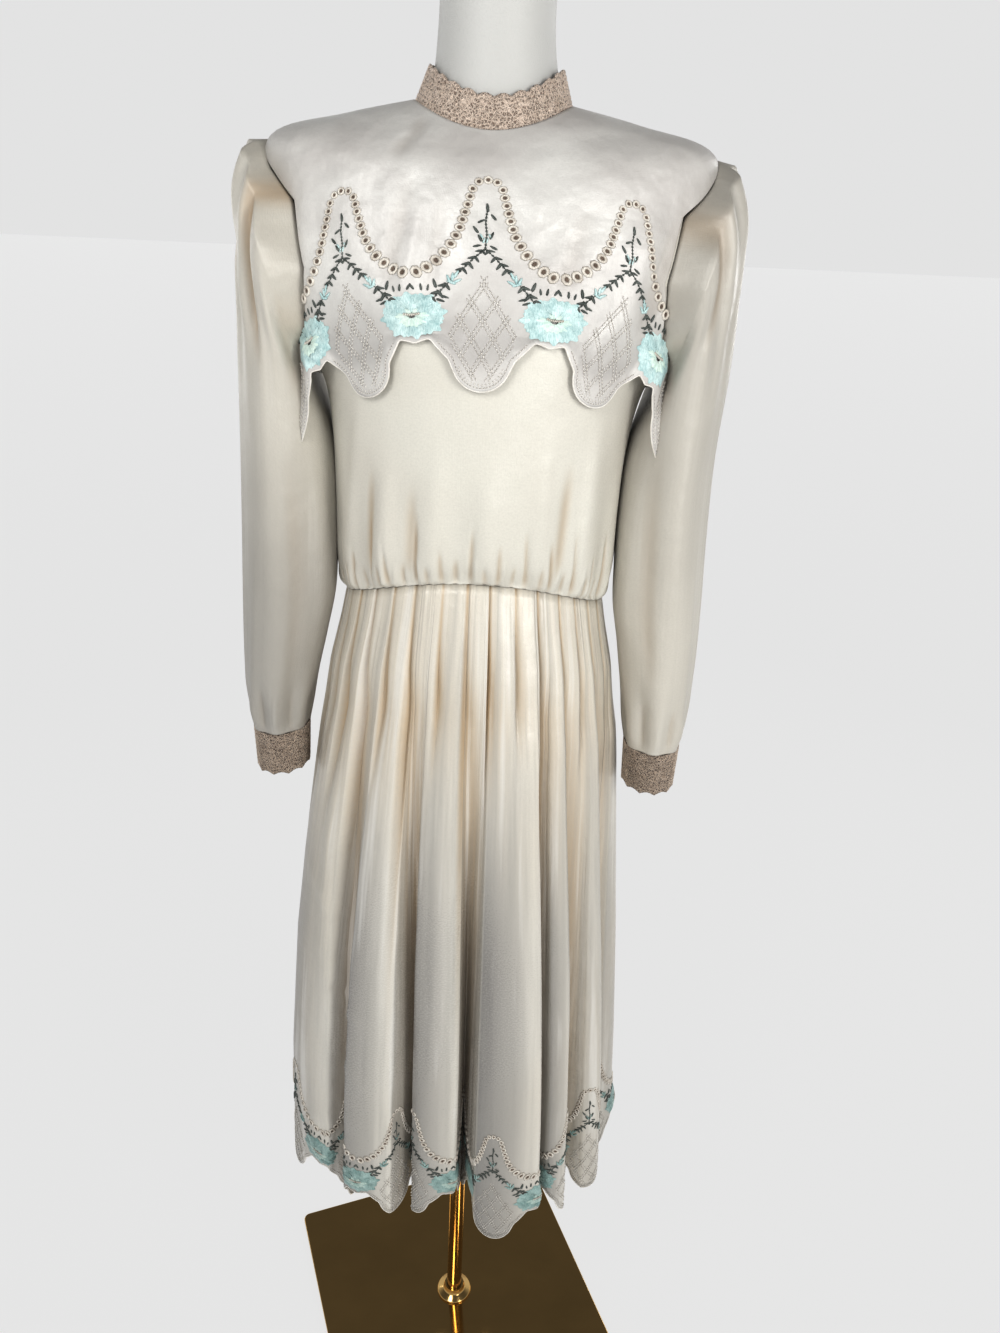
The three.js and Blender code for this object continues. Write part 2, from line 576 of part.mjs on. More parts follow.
const pole = turned(
  "pole",
  [
    [0, poleFoot],
    [poleRadius, poleFoot],
    [poleRadius, poleTop],
    [0, poleTop],
  ],
  brass,
);
const bore = poleRadius + seamGap;
const flange = turned(
  "pole_flange",
  [
    [bore, poleFoot],
    [flangeRadius, poleFoot],
    [flangeRadius, poleFoot + 2.5],
    [bore + 5, poleFoot + 5],
    [bore + 3, poleFoot + flangeHigh],
    [bore, poleFoot + flangeHigh],
    [bore, poleFoot],
  ],
  brass,
);

const dress = new THREE.Group();
dress.add(bodiceFront, ...bodiceBacks, yokeFront, collar, leftSleeve, rightSleeve);
dress.add(cuff("cuff_left", leftSleeveRows, -1), cuff("cuff_right", rightSleeveRows, 1));
dress.add(skirtFront, skirtBack, ...buttons);
const stand = new THREE.Group();
stand.add(dressForm(), basePlate(), pole, flange);
const part = new THREE.Group();
part.add(dress, stand);

export default part;
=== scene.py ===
import math

import bmesh
import bpy
import numpy as np
from mathutils import Matrix, Vector


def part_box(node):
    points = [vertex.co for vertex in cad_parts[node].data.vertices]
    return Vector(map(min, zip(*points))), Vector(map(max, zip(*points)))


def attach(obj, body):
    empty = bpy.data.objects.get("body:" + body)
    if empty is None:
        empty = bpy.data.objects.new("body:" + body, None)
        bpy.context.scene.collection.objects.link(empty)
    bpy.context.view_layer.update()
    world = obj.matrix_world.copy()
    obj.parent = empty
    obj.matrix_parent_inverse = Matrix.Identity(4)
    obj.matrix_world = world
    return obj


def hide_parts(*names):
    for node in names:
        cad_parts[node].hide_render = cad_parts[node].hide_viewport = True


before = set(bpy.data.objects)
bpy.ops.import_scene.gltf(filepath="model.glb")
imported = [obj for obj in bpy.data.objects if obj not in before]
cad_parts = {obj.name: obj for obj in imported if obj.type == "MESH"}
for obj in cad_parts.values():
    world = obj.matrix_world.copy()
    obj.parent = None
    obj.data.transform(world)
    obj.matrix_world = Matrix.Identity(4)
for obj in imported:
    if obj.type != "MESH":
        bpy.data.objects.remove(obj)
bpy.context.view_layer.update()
mm = 0.001
print("frame loaded")


# Shader maths

class Wire:
    def __init__(self, shader, socket):
        self.shader, self.socket = shader, socket

    def math(self, operation, *values):
        return self.shader.node("ShaderNodeMath", {"operation": operation}, dict(enumerate(values)))

    def __add__(self, other):
        return self.math("ADD", self, other)

    def __mul__(self, other):
        return self.math("MULTIPLY", self, other)

    __radd__, __rmul__ = __add__, __mul__


class Finish:
    # one material: nodes come from node(), which sets the settings first and then the sockets
    def __init__(self, name, **constants):
        self.material = bpy.data.materials.new(name)
        self.material.use_nodes = True
        self.tree = self.material.node_tree
        self.tree.nodes.clear()
        self.shader = self.tree.nodes.new("ShaderNodeBsdfPrincipled")
        output = self.tree.nodes.new("ShaderNodeOutputMaterial")
        self.tree.links.new(self.shader.outputs[0], output.inputs["Surface"])
        for socket, value in constants.items():
            self.shader.inputs[socket.replace("_", " ")].default_value = value

    def node(self, kind, settings=None, sockets=None, out=0):
        made = self.tree.nodes.new(kind)
        for key, value in (settings or {}).items():
            if key == "stops":
                for stop, (place, tone) in zip(made.color_ramp.elements, value):
                    stop.position, stop.color = place, (tone, tone, tone, 1)
            else:
                setattr(made, key, value)
        for key, value in (sockets or {}).items():
            self.feed(made.inputs[key], value)
        return Wire(self, made.outputs[out])

    def feed(self, socket, value):
        if isinstance(value, Wire):
            self.tree.links.new(value.socket, socket)
        elif isinstance(value, (tuple, list)) and socket.type == "RGBA":
            socket.default_value = (*value, 1)
        else:
            socket.default_value = value

    def mix(self, share, a, b):
        return self.node("ShaderNodeMix", {"data_type": "RGBA"}, {0: share, 6: a, 7: b}, 2)

    def mask(self, value, black, white):
        # 0 at one value of the pattern, 1 at the other
        return self.node("ShaderNodeValToRGB", {"stops": sorted([(black, 0), (white, 1)])}, {0: value})

    def place(self, scale, source="UV"):
        at = self.node("ShaderNodeTexCoord", out={"UV": 2, "Object": 3}[source])
        return self.node("ShaderNodeMapping", None, {"Vector": at, "Scale": scale})

    def noise(self, at, scale=1.0, detail=3.0, rough=0.5):
        return self.node("ShaderNodeTexNoise", None,
                         {"Vector": at, "Scale": scale, "Detail": detail, "Roughness": rough})

    def cells(self, at, scale, feature="F1"):
        return self.node("ShaderNodeTexVoronoi", {"feature": feature}, {"Vector": at, "Scale": scale})

    def attribute(self, name):
        return self.node("ShaderNodeAttribute", {"attribute_name": name}, out=2)

    def done(self, color, rough, bump=None, high=0.001):
        self.feed(self.shader.inputs["Base Color"], color)
        self.feed(self.shader.inputs["Roughness"], rough)
        if bump is not None:
            relief = self.node("ShaderNodeBump", None, {"Height": bump, "Distance": high})
            self.feed(self.shader.inputs["Normal"], relief)
        return self.material


# Materials

def toned(color, share):
    return tuple(share * c for c in color)


satin = {
    "shade": 0.34,  # tone of what is turned from the light, as a share of the cloth's own
    # the streaks: painted shade and painted sheen along the fine folds, and the colour of that sheen
    "slub": 0.3, "warp": 0.1, "streakShade": 0.17, "streakSheen": 0.2, "streakSheenColor": (0.84, 0.83, 0.8),
    "high": 0.0011,  # height of the crinkles and threads, in metres
}


def satinMaterial(name, cream, blush, valleyShadeColor, streaks=0.0, patches=(7, 6, 7), crush=2.2, gloss=0.34):
    f = Finish(name, Anisotropic=0.4, Sheen_Weight=0.06, Sheen_Roughness=0.4, Specular_IOR_Level=0.9)
    warp = f.noise(f.place((1500, 55, 1)), detail=2)  # fine threads that run down the cloth
    weft = f.noise(f.place((90, 1900, 1)), detail=1)
    # patches of a second tone at random, with rougher spots; in the colour they stand for patches of sheen,
    # so partly painted sheen
    patch = f.mask(f.noise(f.place(patches, "Object"), detail=2), 0.36, 0.64)
    # painted shade: a darker tan mixed in along the valleys of the folds
    color = f.mix(f.attribute("hollowShade"), f.mix(patch, cream, blush), valleyShadeColor)
    dim = satin["shade"] * sum(cream) / 3
    color = f.mix(f.attribute("shade"), color, (1.05 * dim, dim, 0.96 * dim))
    slub = f.noise(f.place((420, 620, 1)), detail=4, rough=0.7)
    color = f.mix(f.mask(slub, 0.4, 0.72) * satin["slub"], color, toned(cream, 0.72))
    color = f.mix(warp * satin["warp"], color, toned(cream, 0.8))
    crinkle = f.noise(f.place((26, 15, 26), "Object"), detail=3, rough=0.45)
    fall = f.noise(f.place((44, 2.2, 1)), detail=3, rough=0.55)  # fine folds that run down the cloth: bumps, with painted shade and painted sheen streaks in the colour
    # painted shade in the fine folds, and painted sheen streaks beside them
    color = f.mix(f.mask(fall, 0.47, 0.6) * (satin["streakShade"] * streaks), color, toned(cream, 0.55))
    color = f.mix(f.mask(fall, 0.46, 0.36) * (satin["streakSheen"] * streaks), color, satin["streakSheenColor"])
    rough = gloss + patch * 0.08 + slub * 0.1
    relief = crinkle * crush + fall * streaks + slub * 0.16 + warp * 0.1 + weft * 0.06
    return f.done(color, rough, relief, satin["high"])


def laceMaterial(name, thread, holeShade):
    f = Finish(name, Sheen_Weight=0.25, Sheen_Roughness=0.5)
    at = f.place((1, 1, 1))
    warped = f.node("ShaderNodeVectorMath", {"operation": "ADD"}, {0: at, 1: f.node(
        "ShaderNodeVectorMath", {"operation": "SCALE"}, {0: f.noise(at, 420), "Scale": 0.0016})})
    loops = f.cells(warped, 340, "DISTANCE_TO_EDGE")
    knots = f.cells(warped, 760)
    net = f.mask(loops, 0.26, 0.06)
    # painted shade: a dark colour in the holes of the net
    color = f.mix(net, holeShade, f.mix(knots, thread, toned(thread, 0.72)))
    return f.done(color, 0.75, net + knots * -0.6, 0.0009)


def threadMaterial(name, light, dark, rough=0.4):
    f = Finish(name, Sheen_Weight=0.2, Sheen_Roughness=0.35, Anisotropic=0.3)
    strands = f.noise(f.place((1500, 1500, 260), "Object"), detail=2)
    patch = f.noise(f.place((120, 120, 120), "Object"), detail=1)
    color = f.mix(f.mask(strands * 0.6 + patch * 0.5, 0.38, 0.7), dark, light)
    return f.done(color, rough, strands, 0.0005)


def formMaterial():
    f = Finish("formShell", Coat_Weight=0.08, Coat_Roughness=0.4)
    knit = f.noise(f.place((900, 900, 900), "Object"), detail=2)
    patch = f.noise(f.place((9, 9, 9), "Object"), detail=2)
    color = f.mix(patch, (0.6, 0.6, 0.587), (0.57, 0.57, 0.553))
    return f.done(color, 0.5 + knit * 0.1, knit + patch * 3, 0.0003)


def brassMaterial(name, gold, rough, smudge):
    f = Finish(name, Metallic=1.0)
    # blotches: in patches the brass is darker and rougher
    blotch = f.noise(f.place((9, 14, 9), "Object"), detail=4, rough=0.6)
    grain = f.noise(f.place((60, 900, 60), "Object"), detail=2)
    color = f.mix(blotch, gold, toned(gold, 0.72))
    return f.done(color, rough + blotch * smudge + grain * 0.02, grain, 0.00001)


finishes = {
    "satin": satinMaterial("satin", (0.72, 0.705, 0.645), (0.68, 0.655, 0.595), (0.52, 0.42, 0.3)),
    # a darker copy of the satin for the sleeves: painted shade
    "shadedSleeveSatin": satinMaterial("shadedSleeveSatin", (0.66, 0.635, 0.575), (0.6, 0.575, 0.52), (0.5, 0.39, 0.27),
                                 0.6),
    "skirtSatin": satinMaterial("skirtSatin", (0.76, 0.74, 0.685), (0.71, 0.66, 0.57), (0.57, 0.42, 0.25),
                                2.2, (4, 4, 2), 3.0, 0.22),
    "yokeSatin": satinMaterial("yokeSatin", (0.73, 0.72, 0.695), (0.59, 0.57, 0.55), (0.42, 0.38, 0.34), 0.0,
                               (11, 9, 17), 5.0, 0.27),
    "collarLace": laceMaterial("collarLace", (0.85, 0.735, 0.64), (0.28, 0.22, 0.18)),
    "collarLoops": threadMaterial("collarLoops", (0.92, 0.82, 0.74), (0.66, 0.56, 0.48), 0.6),
    # the cuffs' lace and loops: darker copies of the collar's, painted shade
    "shadedCuffLace": laceMaterial("shadedCuffLace", (0.55, 0.46, 0.38), (0.11, 0.08, 0.065)),
    "shadedCuffLoops": threadMaterial("shadedCuffLoops", (0.78, 0.68, 0.58), (0.48, 0.39, 0.32), 0.6),
    "aqua": threadMaterial("aquaThread", (0.72, 0.86, 0.85), (0.38, 0.55, 0.555), 0.3),
    # darker copies of the aqua and mint threads for the hem: painted shade
    "shadedHemAqua": threadMaterial("shadedHemAquaThread", (0.47, 0.6, 0.575), (0.22, 0.35, 0.335), 0.32),
    "shadedHemMint": threadMaterial("shadedHemMintThread", (0.62, 0.73, 0.68), (0.4, 0.54, 0.5), 0.34),
    "mint": threadMaterial("mintThread", (0.78, 0.88, 0.82), (0.6, 0.76, 0.7), 0.32),
    "leaf": threadMaterial("leafThread", (0.17, 0.19, 0.175), (0.06, 0.072, 0.066), 0.35),
    "white": threadMaterial("whiteThread", (0.9, 0.88, 0.84), (0.74, 0.71, 0.66), 0.35),
    "eyelet": threadMaterial("eyeletThread", (0.84, 0.81, 0.75), (0.58, 0.53, 0.47), 0.4),
    # dark discs in the eyelets and at the needle holes: painted shade
    "holeShade": threadMaterial("eyeletHoleShade", (0.24, 0.19, 0.155), (0.13, 0.1, 0.08), 0.8),
    "needleShade": threadMaterial("needleHoleShade", (0.5, 0.47, 0.435), (0.4, 0.375, 0.35), 0.8),
    "form": formMaterial(),
    "plate": brassMaterial("plateBrass", (0.74, 0.52, 0.24), 0.05, 0.05),
    "pole": brassMaterial("poleBrass", (0.76, 0.55, 0.26), 0.12, 0.06),
}
print("materials made")


# Small maths on arrays

def smooth(x, a, b):
    share = np.clip((x - a) / (b - a), 0, 1)
    return share * share * (3 - 2 * share)


def sin(degrees):
    return np.sin(np.radians(degrees))


def cos(degrees):
    return np.cos(np.radians(degrees))


def lerp(a, b, share):
    return a + (b - a) * share


def column(table, name, t):
    # one column of a table at a place between its rows, on a smooth curve
    values = np.asarray(table[name], float)
    last = len(values) - 1
    i = np.clip(np.floor(t).astype(int), 0, last - 1)
    f = t - i
    a, b, c, d = (values[np.clip(i + k, 0, last)] for k in (-1, 0, 1, 2))
    return b + 0.5 * f * (c - a + f * (2 * a - 5 * b + 4 * c - d + f * (3 * (b - c) + d - a)))


def sectionPoint(table, angle, t, out=0.0):
    s, c = sin(angle), cos(angle)
    wide = np.where(s < 0, column(table, "left", t), column(table, "right", t)) + out
    deep = np.where(c < 0, column(table, "back", t), column(table, "front", t)) + out
    end = np.where(c < 0, column(table, "zBack", t), column(table, "zFront", t))
    return np.stack([wide * s, -deep * c, lerp(column(table, "zSide", t), end, c * c)], -1)


def unit(vectors):
    return vectors / np.maximum(np.linalg.norm(vectors, axis=-1, keepdims=True), 1e-9)


def arcLength(points):
    # the way along a row of points, up to each of them
    return np.concatenate([[0], np.cumsum(np.linalg.norm(np.diff(points, axis=0), axis=1))])


def creased(x, y, creases, period=None):
    # ridges and valleys, given one by one: from (x0, y0) to (x1, y1), width on the left, width on the right,
    # height
    total = np.zeros(np.broadcast(x, y).shape)
    for x0, y0, x1, y1, leftWide, rightWide, high in creases:
        for turn in (0,) if period is None else (-period, 0, period):
            dx, dy = x1 - x0, y1 - y0
            long = math.hypot(dx, dy)
            along = ((x + turn - x0) * dx + (y - y0) * dy) / long ** 2
            off = ((x + turn - x0) * dy - (y - y0) * dx) / long * (1 if dy > 0 else -1)
            fade = smooth(along, -0.12, 0.25) * (1 - smooth(along, 0.62, 1.12))
            total = total + high * fade * np.exp(-(off / np.where(off < 0, leftWide, rightWide)) ** 2)
    return total


def bodyFolds(table, p, isFront):
    # the creases of the front or the back, by place across and height
    front, back = (creased(p[..., 0], p[..., 2], table[key]) for key in ("frontFolds", "backFolds"))
    return np.where(isFront, front, back)


# Making meshes

def written(bm, name):
    mesh = bpy.data.meshes.new(name)
    bm.to_mesh(mesh)
    bm.free()
    return mesh


def meshFrom(name, build):
    bm = bmesh.new()
    build(bm)
    return written(bm, name)


def linked(name, data):
    piece = bpy.data.objects.new(name, data)
    bpy.context.scene.collection.objects.link(piece)
    return piece


def finished(name, mesh, finish, nodes=(), thick=0):
    # thick: millimetres of cloth under the surface
    piece = linked(name, mesh)
    mesh.materials.append(finishes[finish])
    for face in mesh.polygons:
        face.use_smooth = True
    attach(piece, "root")
    if nodes:
        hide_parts(*nodes)
    if thick:
        wall = piece.modifiers.new("thickness", "SOLIDIFY")
        wall.thickness, wall.offset = thick * mm, -1
    return piece


def mappedGrid(name, columns, rows, surface, us=(0, 1), vs=(0, 1), flat=(1, 1), joined=False,
               hollowShade=None, shade=None):
    # a grid whose points a surface function places in millimetres, with a UV map in metres of flat cloth
    bm = bmesh.new()
    bm.loops.layers.uv.new("flatCloth")
    bmesh.ops.create_grid(bm, x_segments=columns, y_segments=rows, size=0.5, calc_uvs=True)
    mesh = written(bm, name)
    grid = np.empty(len(mesh.vertices) * 3)
    mesh.vertices.foreach_get("co", grid)
    grid = grid.reshape(-1, 3) + 0.5
    u, v = lerp(us[0], us[1], grid[:, 0]), lerp(vs[0], vs[1], grid[:, 1])
    mesh.vertices.foreach_set("co", (surface(u, v) * mm).ravel())
    uv = np.empty(len(mesh.loops) * 2)
    mesh.uv_layers[0].data.foreach_get("uv", uv)
    mesh.uv_layers[0].data.foreach_set("uv", (uv.reshape(-1, 2) * flat).ravel())
    # point attributes for painted shade: in the valleys of the folds, and on what is turned from the light
    for key, tone in (("hollowShade", hollowShade), ("shade", shade)):
        values = np.zeros(len(u)) if tone is None else np.clip(tone(u, v), 0, 1)
        mesh.attributes.new(key, "FLOAT", "POINT").data.foreach_set("value", values)
    bm = bmesh.new()
    bm.from_mesh(mesh)
    if joined:
        bmesh.ops.remove_doubles(bm, verts=[w for w in bm.verts if w.is_boundary], dist=2e-6)
    middle = sum((w.co for w in bm.verts), Vector()) / len(bm.verts)
    if sum(f.normal.dot(f.calc_center_median() - middle) * f.calc_area() for f in bm.faces) < 0:
        bmesh.ops.reverse_faces(bm, faces=bm.faces)
    bm.to_mesh(mesh)
    bm.free()
    return mesh


def ringShape(bm, steps=8, sides=4, tube=0.45):
    loop = bmesh.ops.create_circle(bm, segments=sides, radius=tube)["verts"]
    bmesh.ops.rotate(bm, verts=loop, matrix=Matrix.Rotation(math.pi / 2, 3, "X"))
    bmesh.ops.translate(bm, verts=loop, vec=(1, 0, 0))
    bmesh.ops.spin(bm, geom=bm.verts[:] + bm.edges[:], axis=(0, 0, 1), angle=2 * math.pi, steps=steps,
                   use_merge=True)
    bmesh.ops.recalc_face_normals(bm, faces=bm.faces)


def leafShape(bm):
    bmesh.ops.create_uvsphere(bm, u_segments=5, v_segments=4, radius=1)
    bmesh.ops.rotate(bm, verts=bm.verts, matrix=Matrix.Rotation(math.pi / 2, 3, "Y"))
    for w in bm.verts:
        w.co.y *= 0.33 - 0.08 * w.co.x
        w.co.z *= 0.24


def stitchShape(bm):
    bmesh.ops.create_uvsphere(bm, u_segments=4, v_segments=2, radius=1)
    bmesh.ops.scale(bm, verts=bm.verts, vec=(1, 0.52, 0.5))


def discShape(bm):
    bmesh.ops.create_circle(bm, segments=7, radius=1, cap_ends=True)


def petalShape(bm):
    # a fan of satin stitches, from the heart at x = 0.2 out to the rim at x = 1
    bmesh.ops.create_grid(bm, x_segments=4, y_segments=13, size=1)
    for w in bm.verts:
        a, r = w.co.y, 0.5 + 0.5 * w.co.x
        reach = 0.2 + 0.8 * r * (1 - 0.2 * a * a) + 0.07 * r * math.cos(8 * a)
        turn = a * 0.52
        high = math.sin(math.pi * min(0.15 + 0.85 * r, 1)) ** 0.6 * (1 - 0.55 * a * a)
        high = high if r < 0.99 and abs(a) < 0.99 else 0
        ridge = 0.3 * math.cos(math.pi * 7 * a)
        w.co = Vector((reach * math.cos(turn), reach * math.sin(turn), 0.17 * (high + ridge * (high > 0))))


smallShapes = {name: meshFrom("small", build) for name, build in {
    "ring": ringShape,
    "loop": lambda bm: ringShape(bm, 6, 3, 0.32),
    "leaf": leafShape,
    "stitch": stitchShape,
    "disc": discShape,
    "petal": petalShape,
}.items()}


def stamp(bm, kind, x, y, size, turn=0.0, high=0.0, stretch=1.0, tall=1.0):
    first = len(bm.verts)
    bm.from_mesh(smallShapes[kind])
    bm.verts.ensure_lookup_table()
    c, s = math.cos(math.radians(turn)), math.sin(math.radians(turn))
    for w in bm.verts[first:]:
        px, py = w.co.x * size, w.co.y * size * stretch
        w.co = (x + c * px - s * py, y + s * px + c * py, high + w.co.z * size * tall)


class Chart:
    # lays flat work, in millimetres along and up a border, on the cloth, and lifts it off by its height
    def __init__(self, xs, ys, points):
        self.xs, self.ys, self.points = xs, ys, points
        along, up = np.gradient(points, axis=0), np.gradient(points, axis=1)
        self.normals = unit(np.cross(along, up))

    def at(self, flat):
        fx = np.clip((flat[:, 0] - self.xs[0]) / (self.xs[1] - self.xs[0]), 0, len(self.xs) - 1.001)
        fy = np.clip((flat[:, 1] - self.ys[0]) / (self.ys[1] - self.ys[0]), 0, len(self.ys) - 1.001)
        i, j = fx.astype(int), fy.astype(int)
        a, b = (fx - i)[:, None], (fy - j)[:, None]

        def between(field):
            low = lerp(field[i, j], field[i + 1, j], a)
            return lerp(low, lerp(field[i, j + 1], field[i + 1, j + 1], a), b)

        return between(self.points) + unit(between(self.normals)) * flat[:, 2:3]

    def lay(self, bm, name):
        mesh = written(bm, name)
        flat = np.empty(len(mesh.vertices) * 3)
        mesh.vertices.foreach_get("co", flat)
        mesh.vertices.foreach_set("co", (self.at(flat.reshape(-1, 3)) * mm).ravel())
        mesh.update()
        return mesh


# Bodice

torso = {
    "zFront": [1084, 1091, 1112, 1160, 1214, 1262, 1300, 1345, 1388, 1419, 1434, 1446],
    "zSide": [1049, 1060, 1088, 1140, 1198, 1248, 1286, 1340, 1394, 1440, 1458, 1470],
    "zBack": [1038, 1050, 1078, 1135, 1195, 1246, 1290, 1345, 1395, 1432, 1456, 1478],
    "left": [130, 133.5, 136.5, 137, 139, 146, 168, 184, 187, 184, 122, 65.6],
    "right": [124, 127.5, 131, 132, 135, 145, 168, 184, 187, 184, 122, 65.6],
    "front": [94.5, 99.5, 108, 114, 116, 118, 117, 111, 100, 87, 77, 68],
    "back": [89, 94, 102, 106, 108, 110, 110, 107, 99, 86, 72, 57],
    "panel": [90, 90, 90, 90, 90, 90, 62, 54, 58, 90, 90, 90],
    "thick": 0.9, "seamAngle": 0.17,
    "wave": 2.6,  # fullness over the waist, in millimetres
    "perDegree": 2.3,  # millimetres of cloth to a degree round the waist
    "valleyShade": 0.35,  # how strongly a millimetre of a valley takes the painted shade
    # gathers above the waist seam: degrees round from the front, length, depth, lean
    "gathers": [
        (-84, 40, 1.7, 3), (-77, 24, 1.2, -2), (-71, 62, 2.0, 4), (-64, 30, 1.4, 0), (-59, 44, 1.7, 3),
        (-52, 22, 1.2, -2), (-47, 70, 2.0, 5), (-41, 26, 1.4, 0), (-36, 48, 1.8, -3), (-30, 24, 1.2, 2),
        (-24, 66, 1.8, 3), (-19, 22, 1.2, 0), (-13, 40, 1.6, -2), (-8, 26, 1.3, 1), (-2, 58, 1.7, 2),
        (4, 24, 1.3, -2), (9, 44, 1.6, 0), (15, 22, 1.1, 2), (21, 60, 1.8, -3), (27, 28, 1.3, 0),
        (32, 50, 1.8, -4), (38, 24, 1.3, 2), (44, 72, 2.0, -4), (50, 26, 1.3, 0), (55, 46, 1.7, -3),
        (62, 24, 1.3, 1), (68, 64, 2.0, -4), (75, 30, 1.3, 2), (82, 44, 1.7, -3), (97, 36, 1.5, 2),
        (105, 58, 1.9, -3), (113, 28, 1.3, 1), (122, 66, 2.0, 3), (130, 30, 1.4, -2), (138, 48, 1.7, 2),
        (147, 26, 1.2, 0), (155, 62, 1.8, -3), (163, 30, 1.4, 1), (171, 46, 1.6, 2), (189, 46, 1.6, -2),
        (197, 28, 1.3, 1), (205, 60, 1.9, 3), (214, 30, 1.3, -1), (222, 50, 1.7, 2), (231, 26, 1.3, 0),
        (239, 64, 2.0, -3), (248, 30, 1.3, 2), (256, 44, 1.7, -2), (264, 28, 1.4, 1),
    ],
    # soft folds of the front by place across and height
    "frontFolds": [
        (-118, 1100, -104, 1235, 7, 9, 2.6), (-84, 1090, -78, 1190, 8, 7, 1.8),
        (-40, 1095, -33, 1215, 10, 9, 1.6), (10, 1092, 6, 1200, 11, 10, 1.5),
        (52, 1092, 58, 1220, 9, 8, 1.9), (92, 1088, 103, 1230, 7, 8, 2.4),
        (-99, 1090, -93, 1180, 4, 5, -2.0), (-60, 1092, -56, 1170, 5, 5, -1.4),
        (74, 1090, 79, 1190, 5, 4, -1.8),
    ],
    "backFolds": [
        (-112, 1080, -96, 1230, 8, 8, 2.4), (-62, 1070, -70, 1210, 9, 8, 2.0),
        (58, 1070, 66, 1220, 9, 9, 2.2), (104, 1080, 92, 1225, 8, 8, 2.4),
        (-30, 1240, -96, 1380, 12, 9, 1.8), (34, 1250, 100, 1375, 12, 9, 1.8),
        (-86, 1075, -88, 1180, 4, 5, -1.8), (84, 1075, 82, 1190, 5, 4, -1.8),
    ],
}


def panelAngle(t):
    return np.interp(t, np.arange(12), torso["panel"])


def waistHeight(angle):
    return sectionPoint(torso, angle, np.zeros_like(angle))[..., 2]


def torsoNormal(angle, t, step=1e-3):
    along = sectionPoint(torso, angle + step, t) - sectionPoint(torso, angle - step, t)
    return unit(np.cross(along, sectionPoint(torso, angle, t + step) - sectionPoint(torso, angle, t - step)))


# each gather is a valley with a short ridge on its right
perDegree = torso["perDegree"]
gatherLines = [(perDegree * a, -4, perDegree * a + lean, long, 1.9, 2.6, -1.3 * deep)
               for a, long, deep, lean in torso["gathers"]]
gatherLines += [(perDegree * a + 5, -5, perDegree * a + 6 - lean, 13 + 0.3 * long, 1.3, 1.5, 0.9 * deep)
                for a, long, deep, lean in torso["gathers"]]


def torsoRelief(angle, plain):
    round1 = np.mod(angle + 90, 360) - 90
    up = plain[..., 2] - waistHeight(angle)
    rough = creased(perDegree * round1, up, gatherLines, perDegree * 360)
    soft = bodyFolds(torso, plain, np.abs(round1) <= 90)
    return rough * (0.4 + 0.6 * smooth(up, 0, 9)) + soft * smooth(up, 0, 18)


def torsoPoint(angle, t):
    gather = torso["wave"] * smooth(t, 0, 0.8) * (1 - smooth(t, 1, 4.6))
    wave = sin(16 * angle) + 0.5 * sin(9 * angle + 40)
    plain = sectionPoint(torso, angle, t, gather * wave)
    return plain + torsoNormal(angle, t) * torsoRelief(angle, plain)[..., None]


def bodicePart(name, columns, us, across, flat):
    def surface(u, t):
        return torsoPoint(across(u, panelAngle(t) - torso["seamAngle"]), t)

    # painted shade in the valleys of the gathers and folds
    def hollowShade(u, t):
        angle = across(u, panelAngle(t))
        return -torso["valleyShade"] * torsoRelief(angle, sectionPoint(torso, angle, t))

    mesh = mappedGrid(name, columns, 84, surface, us, (0.02, 11), flat, hollowShade=hollowShade)
    return finished(name + "_cloth", mesh, "satin", [name], torso["thick"])


bodiceFront = bodicePart("bodice_front", 240, (-1, 1), lambda u, half: u * half, (0.46, 0.46))
bodiceLeft = bodicePart("bodice_back_left", 112, (0, 1),
                        lambda u, half: 180 + lerp(torso["seamAngle"], half, u), (0.23, 0.46))
bodiceRight = bodicePart("bodice_back_right", 112, (0, 1),
                         lambda u, half: 180 - lerp(torso["seamAngle"], half, u), (0.23, 0.46))
print("bodice made")


# Scalloped border, shared by the yoke and the hem

border = {
    "repeat": 94, "cord": 0.75, "cordLow": -0.55,  # the rolled edge's radius, and its middle below the face
    # half a lobe: millimetres from its middle and up from its tip, to the notch under the flower
    "across": [0, 5, 10, 14, 17.5, 20, 22, 23.6, 27.5, 32, 36, 41, 47],
    "up": [0, 0.6, 2.4, 5, 8.8, 13, 18.5, 24, 28.5, 34, 39.2, 38.6, 36.8],
}


def scallopUp(repeats):
    away = np.abs(repeats - np.round(repeats)) * border["repeat"]
    return column(border, "up", np.interp(away, border["across"], np.arange(len(border["across"]))))


# Overlay yoke

